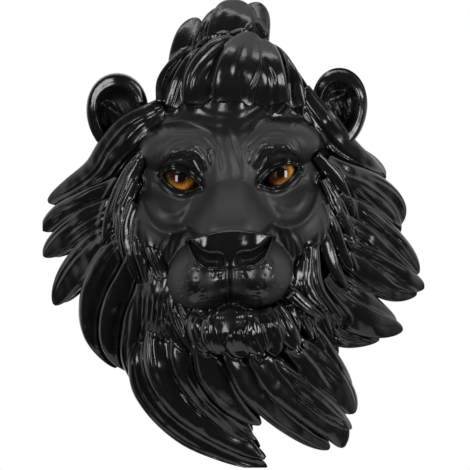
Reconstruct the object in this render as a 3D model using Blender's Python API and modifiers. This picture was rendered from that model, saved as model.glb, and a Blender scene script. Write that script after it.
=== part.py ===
"""Lion head for a wall: one black resin casting and two amber glass eyes.

The head hangs on a wall. The wall is the plane y = 0, the face looks along -Y, +X is to the
right as seen from the front, and +Z is up. Lengths below are in millimetres; every mesh is
written in metres. "Depth" is the distance of a point in front of the wall.
"""

import math

import bmesh
import bpy
import numpy as np

MM = 0.001

# Driving sizes of the casting.
HEAD_HEIGHT = 300.0
FACE_AXIS_X = -2.5
FACE_ROLL = 0.045
BACK_TRIM_DEPTH = 60.0
VOXEL = 2.1
DECIMATE_RATIO = 0.064

# The dome of hair and skull that every lock grows out of.
DOME_CENTRE = (0.0, -5.0)
DOME_HALF_WIDTH = 80.0
DOME_HALF_HEIGHT = 104.0
DOME_DEPTH = 58.0
DOME_FULLNESS = 0.85
DOME_SEGMENTS = 32
DOME_RINGS = 20

# Locks: the underside of a lock lies at this share of its top depth, or nearer to its top
# where the lock would be thicker than this many of its widths. Towards the tip the lock
# thins to the last share.
LOCK_UNDERSIDE = 0.35
LOCK_THICKNESS = 2.4
LOCK_TIP_THICKNESS = 0.3
LOCK_FULL_WIDTH_PLACE = 0.35
LOCK_TIP_END = 0.985
LOCK_TIP_ROUNDING = 0.6
LOCK_RING_CROWDING = 1.5
LOCK_RINGS = 13
LOCK_SIDES = 12
# A second layer of locks lies behind the first, drawn in and lower. It runs back through the
# wall plane, so the flat back of the casting has the outline of the hair.
LOWER_SCALE = 0.96
LOWER_DEPTH = 0.5
LOWER_UNDERSIDE = -0.3

# Glass eyes and their sockets.
EYE_X = 31.3
EYE_Z = 36.6
EYE_CENTRE_DEPTH = 64.0
EYE_RADIUS = 12.5
EYE_GAP = 0.4
LID_THICKNESS = 2.2
LID_HALF_LENGTH = 11.5
LID_HALF_HEIGHT = 6.0
LID_SLOPE = math.radians(20.0)
LID_FULLNESS = 0.4
LID_BLEND = 1.5
LID_CUTTER_LENGTH = 30.0
LID_CUTTER_SIDES = 20
BALL_SEGMENTS = 24
BALL_RINGS = 14

# Face features: centre across and up from the face axis, radii, foot and top depth, blend.
SKULL = ((0.0, 30.0), (72.0, 94.0), 18.0, 86.0)
BROW = ((29.0, 56.0), (27.0, 17.0), 60.0, 86.0, 6.0)
CHEEK = ((41.0, 6.0), (24.0, 27.0), 52.0, 81.0, 8.0)
JOWL = ((38.0, -38.0), (24.0, 34.0), 40.0, 77.0, 8.0)
MUZZLE = ((17.5, -25.5), (21.5, 22.5), 74.0, 108.0, 8.0)
LIP_MIDDLE = ((0.0, -25.0), (14.0, 21.0), 74.0, 104.0, 4.0)
CHIN = ((0.0, -58.0), (29.0, 19.0), 66.0, 98.0, 6.0)
NOSE_PAD = ((0.0, -9.0), (27.0, 12.0), 88.0, 117.0, 2.0)
# Soft hollows of the face: centre across and up, half widths, depth.
EYE_HOLLOW = ((30.0, 35.0), (15.0, 10.0), 7.5)
NOSTRIL = ((15.0, -11.0), (5.0, 3.2), 6.0)
# Steps of the face: where each starts, where it ends, and how much it changes.
BRIDGE_RISE = (38.0, 2.0, 25.0)
BRIDGE_WIDENING = (48.0, 0.0, 12.0)
BRIDGE_END = (-4.0, -18.0, 70.0)
FOREHEAD_FALL = (48.0, 80.0, 10.0)
MOUTH_DIP = (0.0, 12.0, 4.5)
MOUTH_CORNER_RISE = (18.0, 34.0, 3.5)
MOUTH_ENDING = (37.0, 30.0, 1.0)
BRIDGE_DEPTH = 86.0
BRIDGE_HALF_WIDTH = 13.0
BRIDGE_CROWN = 4.0
BRIDGE_FLANK_DROP = 32.0
BRIDGE_FLANK_PLACE = 1.25
BRIDGE_FLANK_SHARPNESS = 3.0
BRIDGE_EDGE = 1.9
BRIDGE_END_ARCH = 6.0
BRIDGE_BLEND = 7.0
MOUTH_HEIGHT = -43.5
MOUTH_HALF_HEIGHT = 2.0
MOUTH_DEPTH = 4.0
# The masses beside the face axis are rounded over it within this distance.
AXIS_ROUNDING = 5.0
AXIS_SHIFT = 2.0
FACE_FALL = 90.0
FACE_TOP = 96.0
FACE_BOTTOM = -84.0
FACE_LEVELS = 61
FACE_COLUMNS = 49
FACE_HALF_WIDTH = 70.0
FACE_CORNER_ROUNDING = 0.86
FACE_EDGE_DEPTH = 22.0
FACE_BACK_DEPTH = -4.0

# Ears: centre across and up, half sizes and the depth of the rim.
EAR_LEFT = (-74.2, 77.0, 19.6, 25.7, 44.0)
EAR_RIGHT = (67.0, 80.5, 17.7, 25.5, 44.0)
EAR_TAPER = 0.1
EAR_SIDES = 20
# Ear section from the back to the bottom of the cup: share of the half size, depth from the rim.
EAR_PROFILE = ((0.5, -33.0), (0.8, -24.0), (0.96, -11.0), (1.0, 0.0), (0.92, 3.5),
               (0.78, 2.5), (0.64, -4.0), (0.4, -8.0), (0.12, -9.0))

# Locks of the crest, the mane, the beard and the strands beside the face. Each one has its
# route from root to tip, as (across, up, depth of its top), and its greatest width.
CREST_LOCKS = (
    (((-9, 100, 58), (-4, 122, 52), (1, 138, 44), (5, 149, 32)), 31),
    (((8, 100, 56), (10, 120, 50), (12, 134, 42), (16, 148, 30)), 24),
    (((-21, 95, 60), (-19, 114, 54), (-13, 131, 46), (-5, 145, 32)), 19),
    (((-31, 86, 58), (-32, 107, 52), (-29, 123, 46), (-23, 138, 34)), 20),
    (((-44, 84, 64), (-43, 97, 60), (-35, 109, 54), (-28, 119, 44)), 12),
    (((-38, 80, 66), (-33, 95, 68), (-26, 108, 62), (-18, 118, 54)), 14),
    (((-20, 82, 73), (-18, 97, 78), (-9, 111, 72), (4, 123, 60)), 28),
    (((2, 82, 78), (4, 97, 84), (8, 112, 77), (12, 127, 58)), 40),
    (((25, 82, 70), (23, 96, 76), (17, 110, 71), (14, 123, 58)), 22),
    (((38, 80, 64), (35, 95, 66), (29, 107, 58), (21, 121, 46)), 17),
    (((47, 83, 60), (40, 94, 56), (33, 104, 50), (25, 112, 42)), 12),
)
MANE_LEFT_LOCKS = (
    (((-49, 85, 64), (-64, 70, 64), (-75, 54, 54), (-86, 39, 44), (-103, 28, 30), (-119, 21, 14)), 25),
    (((-73, 53, 48), (-86, 41, 38), (-97, 35, 28), (-106, 29, 15)), 14),
    (((-72, 32, 58), (-91, 20, 44), (-109, 12, 30), (-123, 3, 12)), 20),
    (((-74, 20, 58), (-93, 8, 44), (-110, -4, 28), (-122, -14, 10)), 19),
    (((-72, 4, 60), (-88, -10, 48), (-103, -26, 32), (-115, -45, 13)), 23),
    (((-66, -2, 64), (-77, -19, 54), (-86.5, -40, 42), (-87, -62, 30), (-75, -85, 13)), 25),
    (((-62, -14, 68), (-70, -36, 58), (-76, -54, 48), (-76, -71, 38), (-67, -87, 20)), 21),
    (((-56, -32, 68), (-61, -56, 58), (-64, -76, 46), (-61, -96, 26)), 20),
)
BEARD_LOCKS = (
    (((-58, -54, 62), (-57, -82, 52), (-49, -103, 43), (-30, -123, 33), (-5, -137, 22), (21, -149, 10)), 25),
    (((-47, -50, 70), (-46, -77, 64), (-34, -102, 53), (-13, -121, 39), (17, -142, 20)), 26),
    (((-36, -58, 75), (-31, -80, 70), (-18, -101, 57), (-1, -119, 40), (12, -131, 22)), 20),
    (((-22, -64, 83), (-14, -87, 76), (-1, -105, 60), (17, -121, 36)), 20),
    (((-4, -68, 88), (9, -90, 76), (25, -108, 58), (44, -124, 36), (61, -137, 16)), 23),
    (((10, -68, 86), (26, -89, 73), (45, -106, 56), (63, -122, 37), (70, -136, 18)), 25),
    (((34, -66, 76), (54, -86, 60), (67, -101, 45), (77, -114, 20)), 24),
    (((36, -44, 74), (47, -67, 62), (60, -83, 50), (76, -104, 24)), 19),
    (((44, -52, 70), (55, -71, 60), (66, -87, 48), (75, -100, 28)), 14),
    (((24, -80, 74), (42, -97, 61), (60, -112, 45), (75, -124, 22)), 15),
)
MANE_RIGHT_LOCKS = (
    (((42, 91, 62), (55, 72, 64), (69, 54, 52), (85, 41, 38), (97, 36, 20)), 22),
    (((62, 63, 54), (75, 51, 44), (87, 44, 32), (97, 38, 16)), 15),
    (((58, 45, 68), (74, 35, 56), (91, 27, 40), (102, 17, 26), (105, 5, 12)), 21),
    (((63, 36, 64), (80, 25, 50), (95, 13, 34), (106, 1, 14)), 21),
    (((64, 22, 64), (84, 6, 46), (103, -11, 30), (118, -25, 12)), 25),
    (((64, 12, 64), (84, -4, 46), (101, -18, 30), (116, -28, 12)), 18),
    (((66, -3, 60), (90, -19, 40), (109, -29, 24), (122, -34, 9)), 18),
    (((66, -12, 60), (85, -26, 42), (100, -35, 28), (117, -38, 12)), 18),
    (((60, -25, 62), (77, -39, 44), (91, -50, 28), (104, -57, 12)), 18),
    (((55, -30, 66), (68, -46, 48), (87, -56, 32), (108, -61, 11)), 23),
    (((50, -34, 68), (60, -53, 50), (69, -64, 34), (93, -67, 11)), 19),
    (((44, -32, 70), (51, -49, 58), (58, -64, 42), (66, -77, 20)), 15),
)
STRAND_LOCKS = (
    (((-52, 57, 72), (-66, 38, 68), (-77, 16, 60), (-83, -5, 52)), 11),
    (((-60, 46, 70), (-67, 30, 68), (-73, 13, 64), (-73, -6, 58)), 10),
    (((-62, 33, 70), (-69, 16, 68), (-71, -1, 66), (-68, -19, 60)), 10),
    (((-63, 20, 71), (-67, 3, 71), (-65, -13, 69), (-60, -28, 64)), 9),
    (((-60, 8, 73), (-60, -7, 75), (-57, -20, 73), (-53, -37, 69)), 9),
    (((-56, 4, 74), (-52, -10, 79), (-46, -22, 79), (-42, -33, 76), (-40, -50, 72)), 9),
    (((-55, -18, 72), (-49, -35, 74), (-44, -49, 73), (-36, -65, 72), (-28, -77, 67)), 10),
    (((-43, -32, 76), (-35, -54, 78), (-28, -67, 78), (-23, -78, 72)), 10),
    (((-34, -43, 80), (-27, -58, 83), (-23, -73, 78)), 8),
    (((52, 50, 72), (64, 36, 67), (71, 22, 60), (76, 11, 54)), 10),
    (((57, 35, 70), (65, 19, 66), (71, 7, 60), (77, -6, 54)), 10),
    (((57, 19, 71), (63, 3, 68), (68, -10, 62), (75, -21, 55)), 10),
    (((54, 9, 73), (58, -7, 70), (63, -20, 66), (72, -34, 58)), 10),
    (((51, 0, 75), (50, -18, 74), (54, -36, 70), (68, -53, 57)), 10),
    (((47, -7, 77), (45, -26, 76), (49, -39, 74), (60, -50, 67)), 10),
    (((43, -16, 78), (40, -32, 78), (42, -48, 74), (50, -66, 67)), 11),
    (((30, -30, 74), (36, -37, 84), (45, -45, 81), (57, -53, 73)), 9),
    (((35, -44, 80), (37, -61, 76), (31, -75, 71)), 11),
)
CHIN_LOCKS = (
    (((-20, -46, 86), (-22, -59, 92), (-17, -76, 78)), 12),
    (((-10, -48, 91), (-13, -61, 97), (-8, -77, 80)), 12),
    (((-3, -50, 92), (0, -63, 98), (7, -78, 80)), 12),
    (((8, -48, 91), (11, -62, 97), (17, -78, 79)), 13),
    (((18, -47, 89), (22, -60, 94), (27, -76, 76)), 12),
    (((26, -45, 84), (32, -58, 88), (40, -72, 74)), 12),
)
# Groups of locks, each with the share of its full width at the root, the sharpness of its
# tips, and whether it has a lower layer.
LOCK_GROUPS = (
    (CREST_LOCKS, 0.95, 6.0, True),
    (MANE_LEFT_LOCKS, 0.62, 3.6, True),
    (BEARD_LOCKS, 0.62, 3.6, True),
    (MANE_RIGHT_LOCKS, 0.62, 3.6, True),
    (STRAND_LOCKS, 0.62, 3.0, False),
    (CHIN_LOCKS, 0.62, 4.0, False),
)

RESIN_COLOUR = (0.012, 0.012, 0.013, 1.0)
RESIN_ROUGHNESS = 0.3
AMBER_COLOUR = (0.62, 0.3, 0.05, 1.0)
AMBER_ROUGHNESS = 0.05


def clear_scene():
    """Remove every object that the file starts with."""
    for obj in list(bpy.data.objects):
        bpy.data.objects.remove(obj, do_unlink=True)


def new_collection(name):
    collection = bpy.data.collections.new(name)
    bpy.context.scene.collection.children.link(collection)
    return collection


def material(name, colour, roughness):
    made = bpy.data.materials.new(name)
    made.use_nodes = True
    shader = made.node_tree.nodes["Principled BSDF"]
    shader.inputs["Base Color"].default_value = colour
    shader.inputs["Roughness"].default_value = roughness
    shader.inputs["Metallic"].default_value = 0.0
    return made


def in_metres(across, up, depth):
    """A point of the head, from millimetres and depth to Blender's metres."""
    return (across * MM, -depth * MM, up * MM)


def add_loft(mesh, rings):
    """Join rings of equal point count into a closed shell, with a fan to the middle of each end."""
    loops = [[mesh.verts.new(point) for point in ring] for ring in rings]
    count = len(rings[0])
    for lower, upper in zip(loops, loops[1:]):
        for i in range(count):
            j = (i + 1) % count
            mesh.faces.new((lower[i], lower[j], upper[j], upper[i]))
    for loop, ring in ((loops[0][::-1], rings[0]), (loops[-1], rings[-1])):
        middle = mesh.verts.new(np.mean(np.array(ring), axis=0))
        for i in range(count):
            mesh.faces.new((loop[i], loop[(i + 1) % count], middle))


def smooth_step(low, high, value):
    share = np.clip((value - low) / (high - low), 0.0, 1.0)
    return share * share * (3.0 - 2.0 * share)


def soft_max(first, second, blend):
    """The greater of two depths, rounded over where they meet."""
    return 0.5 * (first + second + np.sqrt((first - second) ** 2 + blend ** 2))


def step(value, limits):
    """A change that starts at the first limit, ends at the second and is the third high."""
    return limits[2] * smooth_step(limits[0], limits[1], value)


def hollow_depth(side, up, hollow):
    """Depth of a soft round hollow at a place."""
    centre, radii, depth = hollow
    reach = ((side - centre[0]) / radii[0]) ** 2 + ((up - centre[1]) / radii[1]) ** 2
    return depth * np.exp(-reach)


def mound(side, up, feature):
    """Depth of an ellipsoid cap that rises from its foot to its top."""
    centre, radii, foot, top = feature[:4]
    reach = ((side - centre[0]) / radii[0]) ** 2 + ((up - centre[1]) / radii[1]) ** 2
    cap = (top - foot) * np.sqrt(np.maximum(1.0 - reach, 0.0))
    return foot + cap - FACE_FALL * np.maximum(np.sqrt(reach) - 1.0, 0.0)


def bridge_depth(side, up):
    """The broad bridge of the nose: it widens and rises from the brow down to the nose pad."""
    middle = BRIDGE_DEPTH + step(up, BRIDGE_RISE) - step(up, FOREHEAD_FALL)
    share = side / (BRIDGE_HALF_WIDTH + step(up, BRIDGE_WIDENING))
    end = step(up - BRIDGE_END_ARCH * share ** 2, BRIDGE_END)
    flank = 1.0 - np.exp(-((share / BRIDGE_FLANK_PLACE) ** BRIDGE_FLANK_SHARPNESS))
    fall = BRIDGE_FLANK_DROP * flank + FACE_FALL * np.maximum(share - BRIDGE_EDGE, 0.0)
    return middle - BRIDGE_CROWN * share ** 2 - fall - end


def mouth_height(side):
    """Height of the mouth line: a little higher under the nose and at the ends."""
    return MOUTH_HEIGHT - step(side, MOUTH_DIP) + step(side, MOUTH_CORNER_RISE)


def face_depth(across, up):
    """Depth of the face in front of the wall, at a place measured from the face axis."""
    side = np.abs(across)
    round_side = np.hypot(across, AXIS_ROUNDING) - AXIS_SHIFT
    depth = mound(side, up, SKULL)
    for feature in (BROW, CHEEK, JOWL):
        depth = soft_max(depth, mound(round_side, up, feature), feature[4])
    depth = soft_max(depth, bridge_depth(side, up), BRIDGE_BLEND)
    depth -= hollow_depth(side, up, EYE_HOLLOW)
    for feature in (MUZZLE, LIP_MIDDLE, CHIN, NOSE_PAD):
        depth = soft_max(depth, mound(side, up, feature), feature[4])
    mouth = np.exp(-((up - mouth_height(side)) / MOUTH_HALF_HEIGHT) ** 2)
    depth -= MOUTH_DEPTH * mouth * step(side, MOUTH_ENDING) + hollow_depth(side, up, NOSTRIL)
    lid_radius = EYE_RADIUS + LID_THICKNESS
    from_eye = (side - EYE_X) ** 2 + (up - EYE_Z) ** 2
    lid = EYE_CENTRE_DEPTH + np.sqrt(np.maximum(lid_radius ** 2 - from_eye, 0.0))
    return soft_max(depth, np.where(from_eye < lid_radius ** 2, lid, 0.0), LID_BLEND)


def add_face(mesh):
    """The face as a stack of level sections: a front curve by face_depth, closed at the wall."""
    share = np.linspace(-1.0, 1.0, FACE_COLUMNS)
    middle = 0.5 * (FACE_TOP + FACE_BOTTOM)
    reach = 0.5 * (FACE_TOP - FACE_BOTTOM)
    rings = []
    for up in np.linspace(FACE_BOTTOM, FACE_TOP, FACE_LEVELS):
        round_off = math.sqrt(1.0 - FACE_CORNER_ROUNDING * ((up - middle) / reach) ** 4)
        across = FACE_HALF_WIDTH * round_off * share
        depth = face_depth(across, np.full(FACE_COLUMNS, up))
        depth = np.maximum(depth, FACE_EDGE_DEPTH)
        front = [
            in_metres(FACE_AXIS_X + a, up + FACE_ROLL * a, d) for a, d in zip(across, depth)
        ]
        edge = FACE_HALF_WIDTH * round_off
        back = [
            in_metres(FACE_AXIS_X + edge, up + FACE_ROLL * edge, FACE_BACK_DEPTH),
            in_metres(FACE_AXIS_X - edge, up - FACE_ROLL * edge, FACE_BACK_DEPTH),
        ]
        rings.append(front + back)
    add_loft(mesh, rings)


def smooth_route(points, places):
    """A smooth curve through the points, read at places from 0 at the root to 1 at the tip."""
    ends = np.array(points, float)
    first = 2.0 * ends[0] - ends[1]
    last = 2.0 * ends[-1] - ends[-2]
    knots = np.vstack([first, ends, last])
    place = places * (len(points) - 1.0)
    index = np.minimum(place.astype(int), len(points) - 2)
    t = (place - index)[:, None]
    p0, p1, p2, p3 = (knots[index + k] for k in range(4))
    slope = 0.5 * (p2 - p0)
    bend = p0 - 2.5 * p1 + 2.0 * p2 - 0.5 * p3
    twist = 1.5 * (p1 - p2) + 0.5 * (p3 - p0)
    return p1 + slope * t + bend * t ** 2 + twist * t ** 3


def tip_share(share, sharpness):
    """How a lock runs out: 1 at its root, small at its tip."""
    return (1.0 - LOCK_TIP_END * share ** sharpness) ** LOCK_TIP_ROUNDING


def lock_width(share, root, sharpness):
    """Width of a lock along its route, as a share of its greatest width."""
    full = smooth_step(0.0, LOCK_FULL_WIDTH_PLACE, share)
    return (root + (1.0 - root) * full) * tip_share(share, sharpness)


def lower_lock(points):
    """The route of the lock that lies behind another one, nearer to the wall."""
    return tuple(
        (LOWER_SCALE * across, LOWER_SCALE * up, LOWER_DEPTH * depth)
        for across, up, depth in points
    )


def add_lock(mesh, points, width, root, sharpness, underside):
    """One lock: oval sections along its route, deep at the root and rounded off at the tip."""
    places = 1.0 - np.linspace(1.0, 0.0, LOCK_RINGS) ** LOCK_RING_CROWDING
    route = smooth_route(points, places)
    ahead = np.gradient(route[:, :2], axis=0)
    ahead /= np.linalg.norm(ahead, axis=1)[:, None]
    angle = np.linspace(0.0, 2.0 * math.pi, LOCK_SIDES, endpoint=False)
    rings = []
    for i in range(LOCK_RINGS):
        across, up, top = route[i]
        half = 0.5 * width * lock_width(places[i], root, sharpness)
        thin = 1.0 - (1.0 - LOCK_TIP_THICKNESS) * (1.0 - tip_share(places[i], sharpness))
        thickness = thin * min((1.0 - underside) * top, LOCK_THICKNESS * width)
        crown = min(half, 0.5 * thickness)
        side = half * np.cos(angle)
        height = np.where(np.sin(angle) > 0.0, crown, thickness - crown) * np.sin(angle)
        rings.append([
            in_metres(across - s * ahead[i, 1], up + s * ahead[i, 0], top - crown + h)
            for s, h in zip(side, height)
        ])
    add_loft(mesh, rings)


def add_ear(mesh, ear):
    """A round ear: a thick rim around a cup, on a foot that runs back into the hair."""
    across, up, half_width, half_height, rim_depth = ear
    angle = np.linspace(0.0, 2.0 * math.pi, EAR_SIDES, endpoint=False)
    rings = [
        [
            in_metres(
                across + share * half_width * math.cos(t) * (1.0 + EAR_TAPER * math.sin(t)),
                up + share * half_height * math.sin(t),
                rim_depth + rise,
            )
            for t in angle
        ]
        for share, rise in EAR_PROFILE
    ]
    add_loft(mesh, rings)


def mesh_object(name, mesh, collection):
    data = bpy.data.meshes.new(name)
    bmesh.ops.recalc_face_normals(mesh, faces=mesh.faces)
    mesh.to_mesh(data)
    mesh.free()
    made = bpy.data.objects.new(name, data)
    collection.objects.link(made)
    return made


def add_dome(mesh):
    """The dome behind the locks, a flattened sphere whose back half the wall cut takes away."""
    made = bmesh.ops.create_uvsphere(
        mesh, u_segments=DOME_SEGMENTS, v_segments=DOME_RINGS, radius=1.0
    )
    across, up = DOME_CENTRE
    for vert in made["verts"]:
        vert.co.y = math.copysign(abs(vert.co.y) ** DOME_FULLNESS, vert.co.y)
    bmesh.ops.scale(
        mesh, vec=(DOME_HALF_WIDTH * MM, DOME_DEPTH * MM, DOME_HALF_HEIGHT * MM),
        verts=made["verts"],
    )
    bmesh.ops.translate(mesh, vec=in_metres(across, up, 0.0), verts=made["verts"])


def cutter(name, mesh, collection):
    made = mesh_object(name, mesh, collection)
    made.hide_render = True
    made.display_type = "WIRE"
    return made


def wall_cutter(collection):
    """A block behind the wall plane, which leaves the flat back of the casting."""
    mesh = bmesh.new()
    bmesh.ops.create_cube(mesh, size=1.0)
    size = (1.4 * HEAD_HEIGHT * MM, BACK_TRIM_DEPTH * MM, 1.4 * HEAD_HEIGHT * MM)
    bmesh.ops.scale(mesh, vec=size, verts=mesh.verts)
    bmesh.ops.translate(mesh, vec=(0.0, 0.5 * BACK_TRIM_DEPTH * MM, 0.0), verts=mesh.verts)
    return cutter("wall_cutter", mesh, collection)


def eye_place(side):
    """Centre of an eye, side -1 at the left and 1 at the right."""
    return in_metres(
        FACE_AXIS_X + side * EYE_X, EYE_Z + FACE_ROLL * side * EYE_X, EYE_CENTRE_DEPTH
    )


def socket_cutters(side, label, collection):
    """The round hollow that holds an eye, and the almond opening between its lids."""
    place = eye_place(side)
    mesh = bmesh.new()
    bmesh.ops.create_uvsphere(
        mesh, u_segments=BALL_SEGMENTS, v_segments=BALL_RINGS,
        radius=(EYE_RADIUS + EYE_GAP) * MM,
    )
    bmesh.ops.translate(mesh, vec=place, verts=mesh.verts)
    hollow = cutter("socket_cutter_" + label, mesh, collection)
    mesh = bmesh.new()
    corner = np.linspace(0.0, 2.0 * math.pi, LID_CUTTER_SIDES, endpoint=False)
    reach = LID_HALF_LENGTH * np.cos(corner)
    height = LID_HALF_HEIGHT * np.sin(corner) * np.abs(np.sin(corner)) ** LID_FULLNESS
    slope = side * LID_SLOPE
    rings = []
    for depth in (0.0, LID_CUTTER_LENGTH):
        rings.append([
            (place[0] + MM * (r * math.cos(slope) - h * math.sin(slope)),
             place[1] - MM * depth,
             place[2] + MM * (r * math.sin(slope) + h * math.cos(slope)))
            for r, h in zip(reach, height)
        ])
    add_loft(mesh, rings)
    opening = cutter("lid_cutter_" + label, mesh, collection)
    return hollow, opening


def cut(target, tool, name):
    modifier = target.modifiers.new(name, "BOOLEAN")
    modifier.operation = "DIFFERENCE"
    modifier.solver = "EXACT"
    modifier.object = tool


def build_head(collection, cutters):
    """The casting: overlapping shells made one skin, thinned, then cut at the wall and the eyes."""
    mesh = bmesh.new()
    add_dome(mesh)
    add_face(mesh)
    for ear in (EAR_LEFT, EAR_RIGHT):
        add_ear(mesh, ear)
    for locks, root, sharpness, layered in LOCK_GROUPS:
        for points, width in locks:
            add_lock(mesh, points, width, root, sharpness, LOCK_UNDERSIDE)
            if layered:
                add_lock(mesh, lower_lock(points), width, root, sharpness, LOWER_UNDERSIDE)
    head = mesh_object("lion_head", mesh, collection)
    skin = head.modifiers.new("one skin", "REMESH")
    skin.mode = "VOXEL"
    skin.voxel_size = VOXEL * MM
    skin.use_smooth_shade = True
    thin = head.modifiers.new("fewer faces", "DECIMATE")
    thin.ratio = DECIMATE_RATIO
    cut(head, wall_cutter(cutters), "flat back")
    for side, label in ((-1, "left"), (1, "right")):
        hollow, opening = socket_cutters(side, label, cutters)
        cut(head, hollow, "socket " + label)
        cut(head, opening, "lids " + label)
    head.data.materials.append(material("black resin", RESIN_COLOUR, RESIN_ROUGHNESS))
    return head


def build_eye(side, label, amber, collection):
    mesh = bmesh.new()
    bmesh.ops.create_uvsphere(
        mesh, u_segments=BALL_SEGMENTS, v_segments=BALL_RINGS, radius=EYE_RADIUS * MM
    )
    eye = mesh_object("eye_" + label, mesh, collection)
    eye.location = eye_place(side)
    eye.data.shade_smooth()
    eye.data.materials.append(amber)
    return eye


def main():
    clear_scene()
    parts = new_collection("lion head wall sculpture")
    cutters = new_collection("cutters")
    build_head(parts, cutters)
    amber = material("amber glass", AMBER_COLOUR, AMBER_ROUGHNESS)
    for side, label in ((-1, "left"), (1, "right")):
        build_eye(side, label, amber, parts)


main()
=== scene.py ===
"""Black resin lion head for a wall, with amber glass eyes: shapes, finishes, light and camera.

The wall is the plane y = 0, the face looks along -Y, +X is to the right as seen from the front
and +Z is up. Sizes of the head are in millimetres and "depth" is the distance in front of the
wall; meshes are written in metres.
"""

import logging
import math
from dataclasses import dataclass, field
from enum import Enum

import bpy
import numpy as np
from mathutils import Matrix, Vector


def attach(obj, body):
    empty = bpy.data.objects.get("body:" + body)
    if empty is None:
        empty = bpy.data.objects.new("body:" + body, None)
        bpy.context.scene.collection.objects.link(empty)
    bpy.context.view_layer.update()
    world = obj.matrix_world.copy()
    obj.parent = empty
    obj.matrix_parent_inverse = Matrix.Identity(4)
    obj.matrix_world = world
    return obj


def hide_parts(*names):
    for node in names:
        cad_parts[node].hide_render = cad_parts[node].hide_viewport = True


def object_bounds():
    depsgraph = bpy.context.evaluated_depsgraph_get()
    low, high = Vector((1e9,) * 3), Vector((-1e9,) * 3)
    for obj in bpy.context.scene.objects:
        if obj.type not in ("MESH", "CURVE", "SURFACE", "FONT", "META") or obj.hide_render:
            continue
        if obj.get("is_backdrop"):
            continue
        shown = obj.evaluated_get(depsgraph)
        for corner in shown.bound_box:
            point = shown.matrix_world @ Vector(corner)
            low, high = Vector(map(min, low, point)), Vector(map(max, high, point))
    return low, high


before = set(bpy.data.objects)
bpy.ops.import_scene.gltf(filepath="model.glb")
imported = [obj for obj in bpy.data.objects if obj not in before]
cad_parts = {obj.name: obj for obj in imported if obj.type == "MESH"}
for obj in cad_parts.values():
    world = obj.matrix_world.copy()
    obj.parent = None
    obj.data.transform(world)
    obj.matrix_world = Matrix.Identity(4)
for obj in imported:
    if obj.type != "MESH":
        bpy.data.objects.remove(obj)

MM = 0.001
BODY = "root"
HEAD_NODE = "lion_head"
FIRST_LOCK = 10
LOG = logging.getLogger("lion_head")

Route = tuple[tuple[float, float, float], ...]
Span = tuple[float, float]
Colour = tuple[float, float, float, float]
Path = tuple[tuple[float, float], ...]


def smooth_step(low: float, high: float, value: np.ndarray) -> np.ndarray:
    """Ease from 0 at low to 1 at high along 3 t^2 - 2 t^3.

    Args:
        low: Value where the result is 0; it may be the greater one.
        high: Value where the result is 1.
        value: Values to ease.

    Returns:
        The eased values, between 0 and 1.
    """
    share = np.clip((value - low) / (high - low), 0.0, 1.0)
    return share * share * (3.0 - 2.0 * share)


def soft_max(first: np.ndarray, second: np.ndarray, blend: float) -> np.ndarray:
    """Take the greater of two depths, rounded over within a blend width.

    The formula is half of a + b + sqrt((a - b)^2 + blend^2).

    Args:
        first: First depths.
        second: Second depths.
        blend: Difference over which the two melt together.

    Returns:
        The blended depths.
    """
    return 0.5 * (first + second + np.sqrt((first - second) ** 2 + blend ** 2))


def bell(value: np.ndarray, width: float) -> np.ndarray:
    """Return exp(-(value / width)^2)."""
    return np.exp(-((value / width) ** 2))


@dataclass(frozen=True)
class Noise:
    """Smooth noise: a sum of plane waves with seeded directions, lengths and phases."""

    scale: float
    seed: int
    waves: int = 7
    length_spread: Span = (0.7, 1.5)
    size: float = 2.6

    def at(self, x: np.ndarray, z: np.ndarray) -> np.ndarray:
        """Read the noise: the sum of sin(2 pi (x cos(a) + z sin(a)) / length + phase) / size.

        Args:
            x: Places across.
            z: Places up, in the same unit as x and the scale.

        Returns:
            Noise of about unit size.
        """
        chance = np.random.default_rng(self.seed)
        total = np.zeros_like(x)
        for _ in range(self.waves):
            turn = chance.uniform(0.0, 2.0 * math.pi)
            length = self.scale * chance.uniform(*self.length_spread)
            phase = chance.uniform(0.0, 2.0 * math.pi)
            run = x * math.cos(turn) + z * math.sin(turn)
            total += np.sin(2.0 * math.pi * run / length + phase)
        return total / self.size


def smooth_curve(points: np.ndarray, places: np.ndarray) -> np.ndarray:
    """Read a Catmull-Rom curve through points.

    Args:
        points: Points of the curve, one to a row.
        places: Places along it, from 0 at the first point to 1 at the last.

    Returns:
        One point for each place.
    """
    knots = np.vstack([2.0 * points[0] - points[1], points, 2.0 * points[-1] - points[-2]])
    place = places * (len(points) - 1.0)
    index = np.minimum(place.astype(int), len(points) - 2)
    t = (place - index)[:, None]
    p0, p1, p2, p3 = (knots[index + k] for k in range(4))
    slope = 0.5 * (p2 - p0)
    bend = p0 - 2.5 * p1 + 2.0 * p2 - 0.5 * p3
    twist = 1.5 * (p1 - p2) + 0.5 * (p3 - p0)
    return p1 + slope * t + bend * t ** 2 + twist * t ** 3


def path_distance(x: np.ndarray, z: np.ndarray, path: Path) -> tuple[np.ndarray, np.ndarray]:
    """Distance from each place to a path of straight stretches.

    Args:
        x: Places across.
        z: Places up.
        path: Points of the path.

    Returns:
        The distance, and how far along the path the nearest point lies, from 0 to 1.
    """
    best = np.full(x.shape, np.inf)
    along = np.zeros(x.shape)
    count = len(path) - 1
    for index, (start, end) in enumerate(zip(path, path[1:])):
        run = (end[0] - start[0], end[1] - start[1])
        square = run[0] ** 2 + run[1] ** 2
        share = np.clip(((x - start[0]) * run[0] + (z - start[1]) * run[1]) / square, 0.0, 1.0)
        gap = np.hypot(x - start[0] - share * run[0], z - start[1] - share * run[1])
        nearer = gap < best
        best = np.where(nearer, gap, best)
        along = np.where(nearer, (index + share) / count, along)
    return best, along


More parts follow.
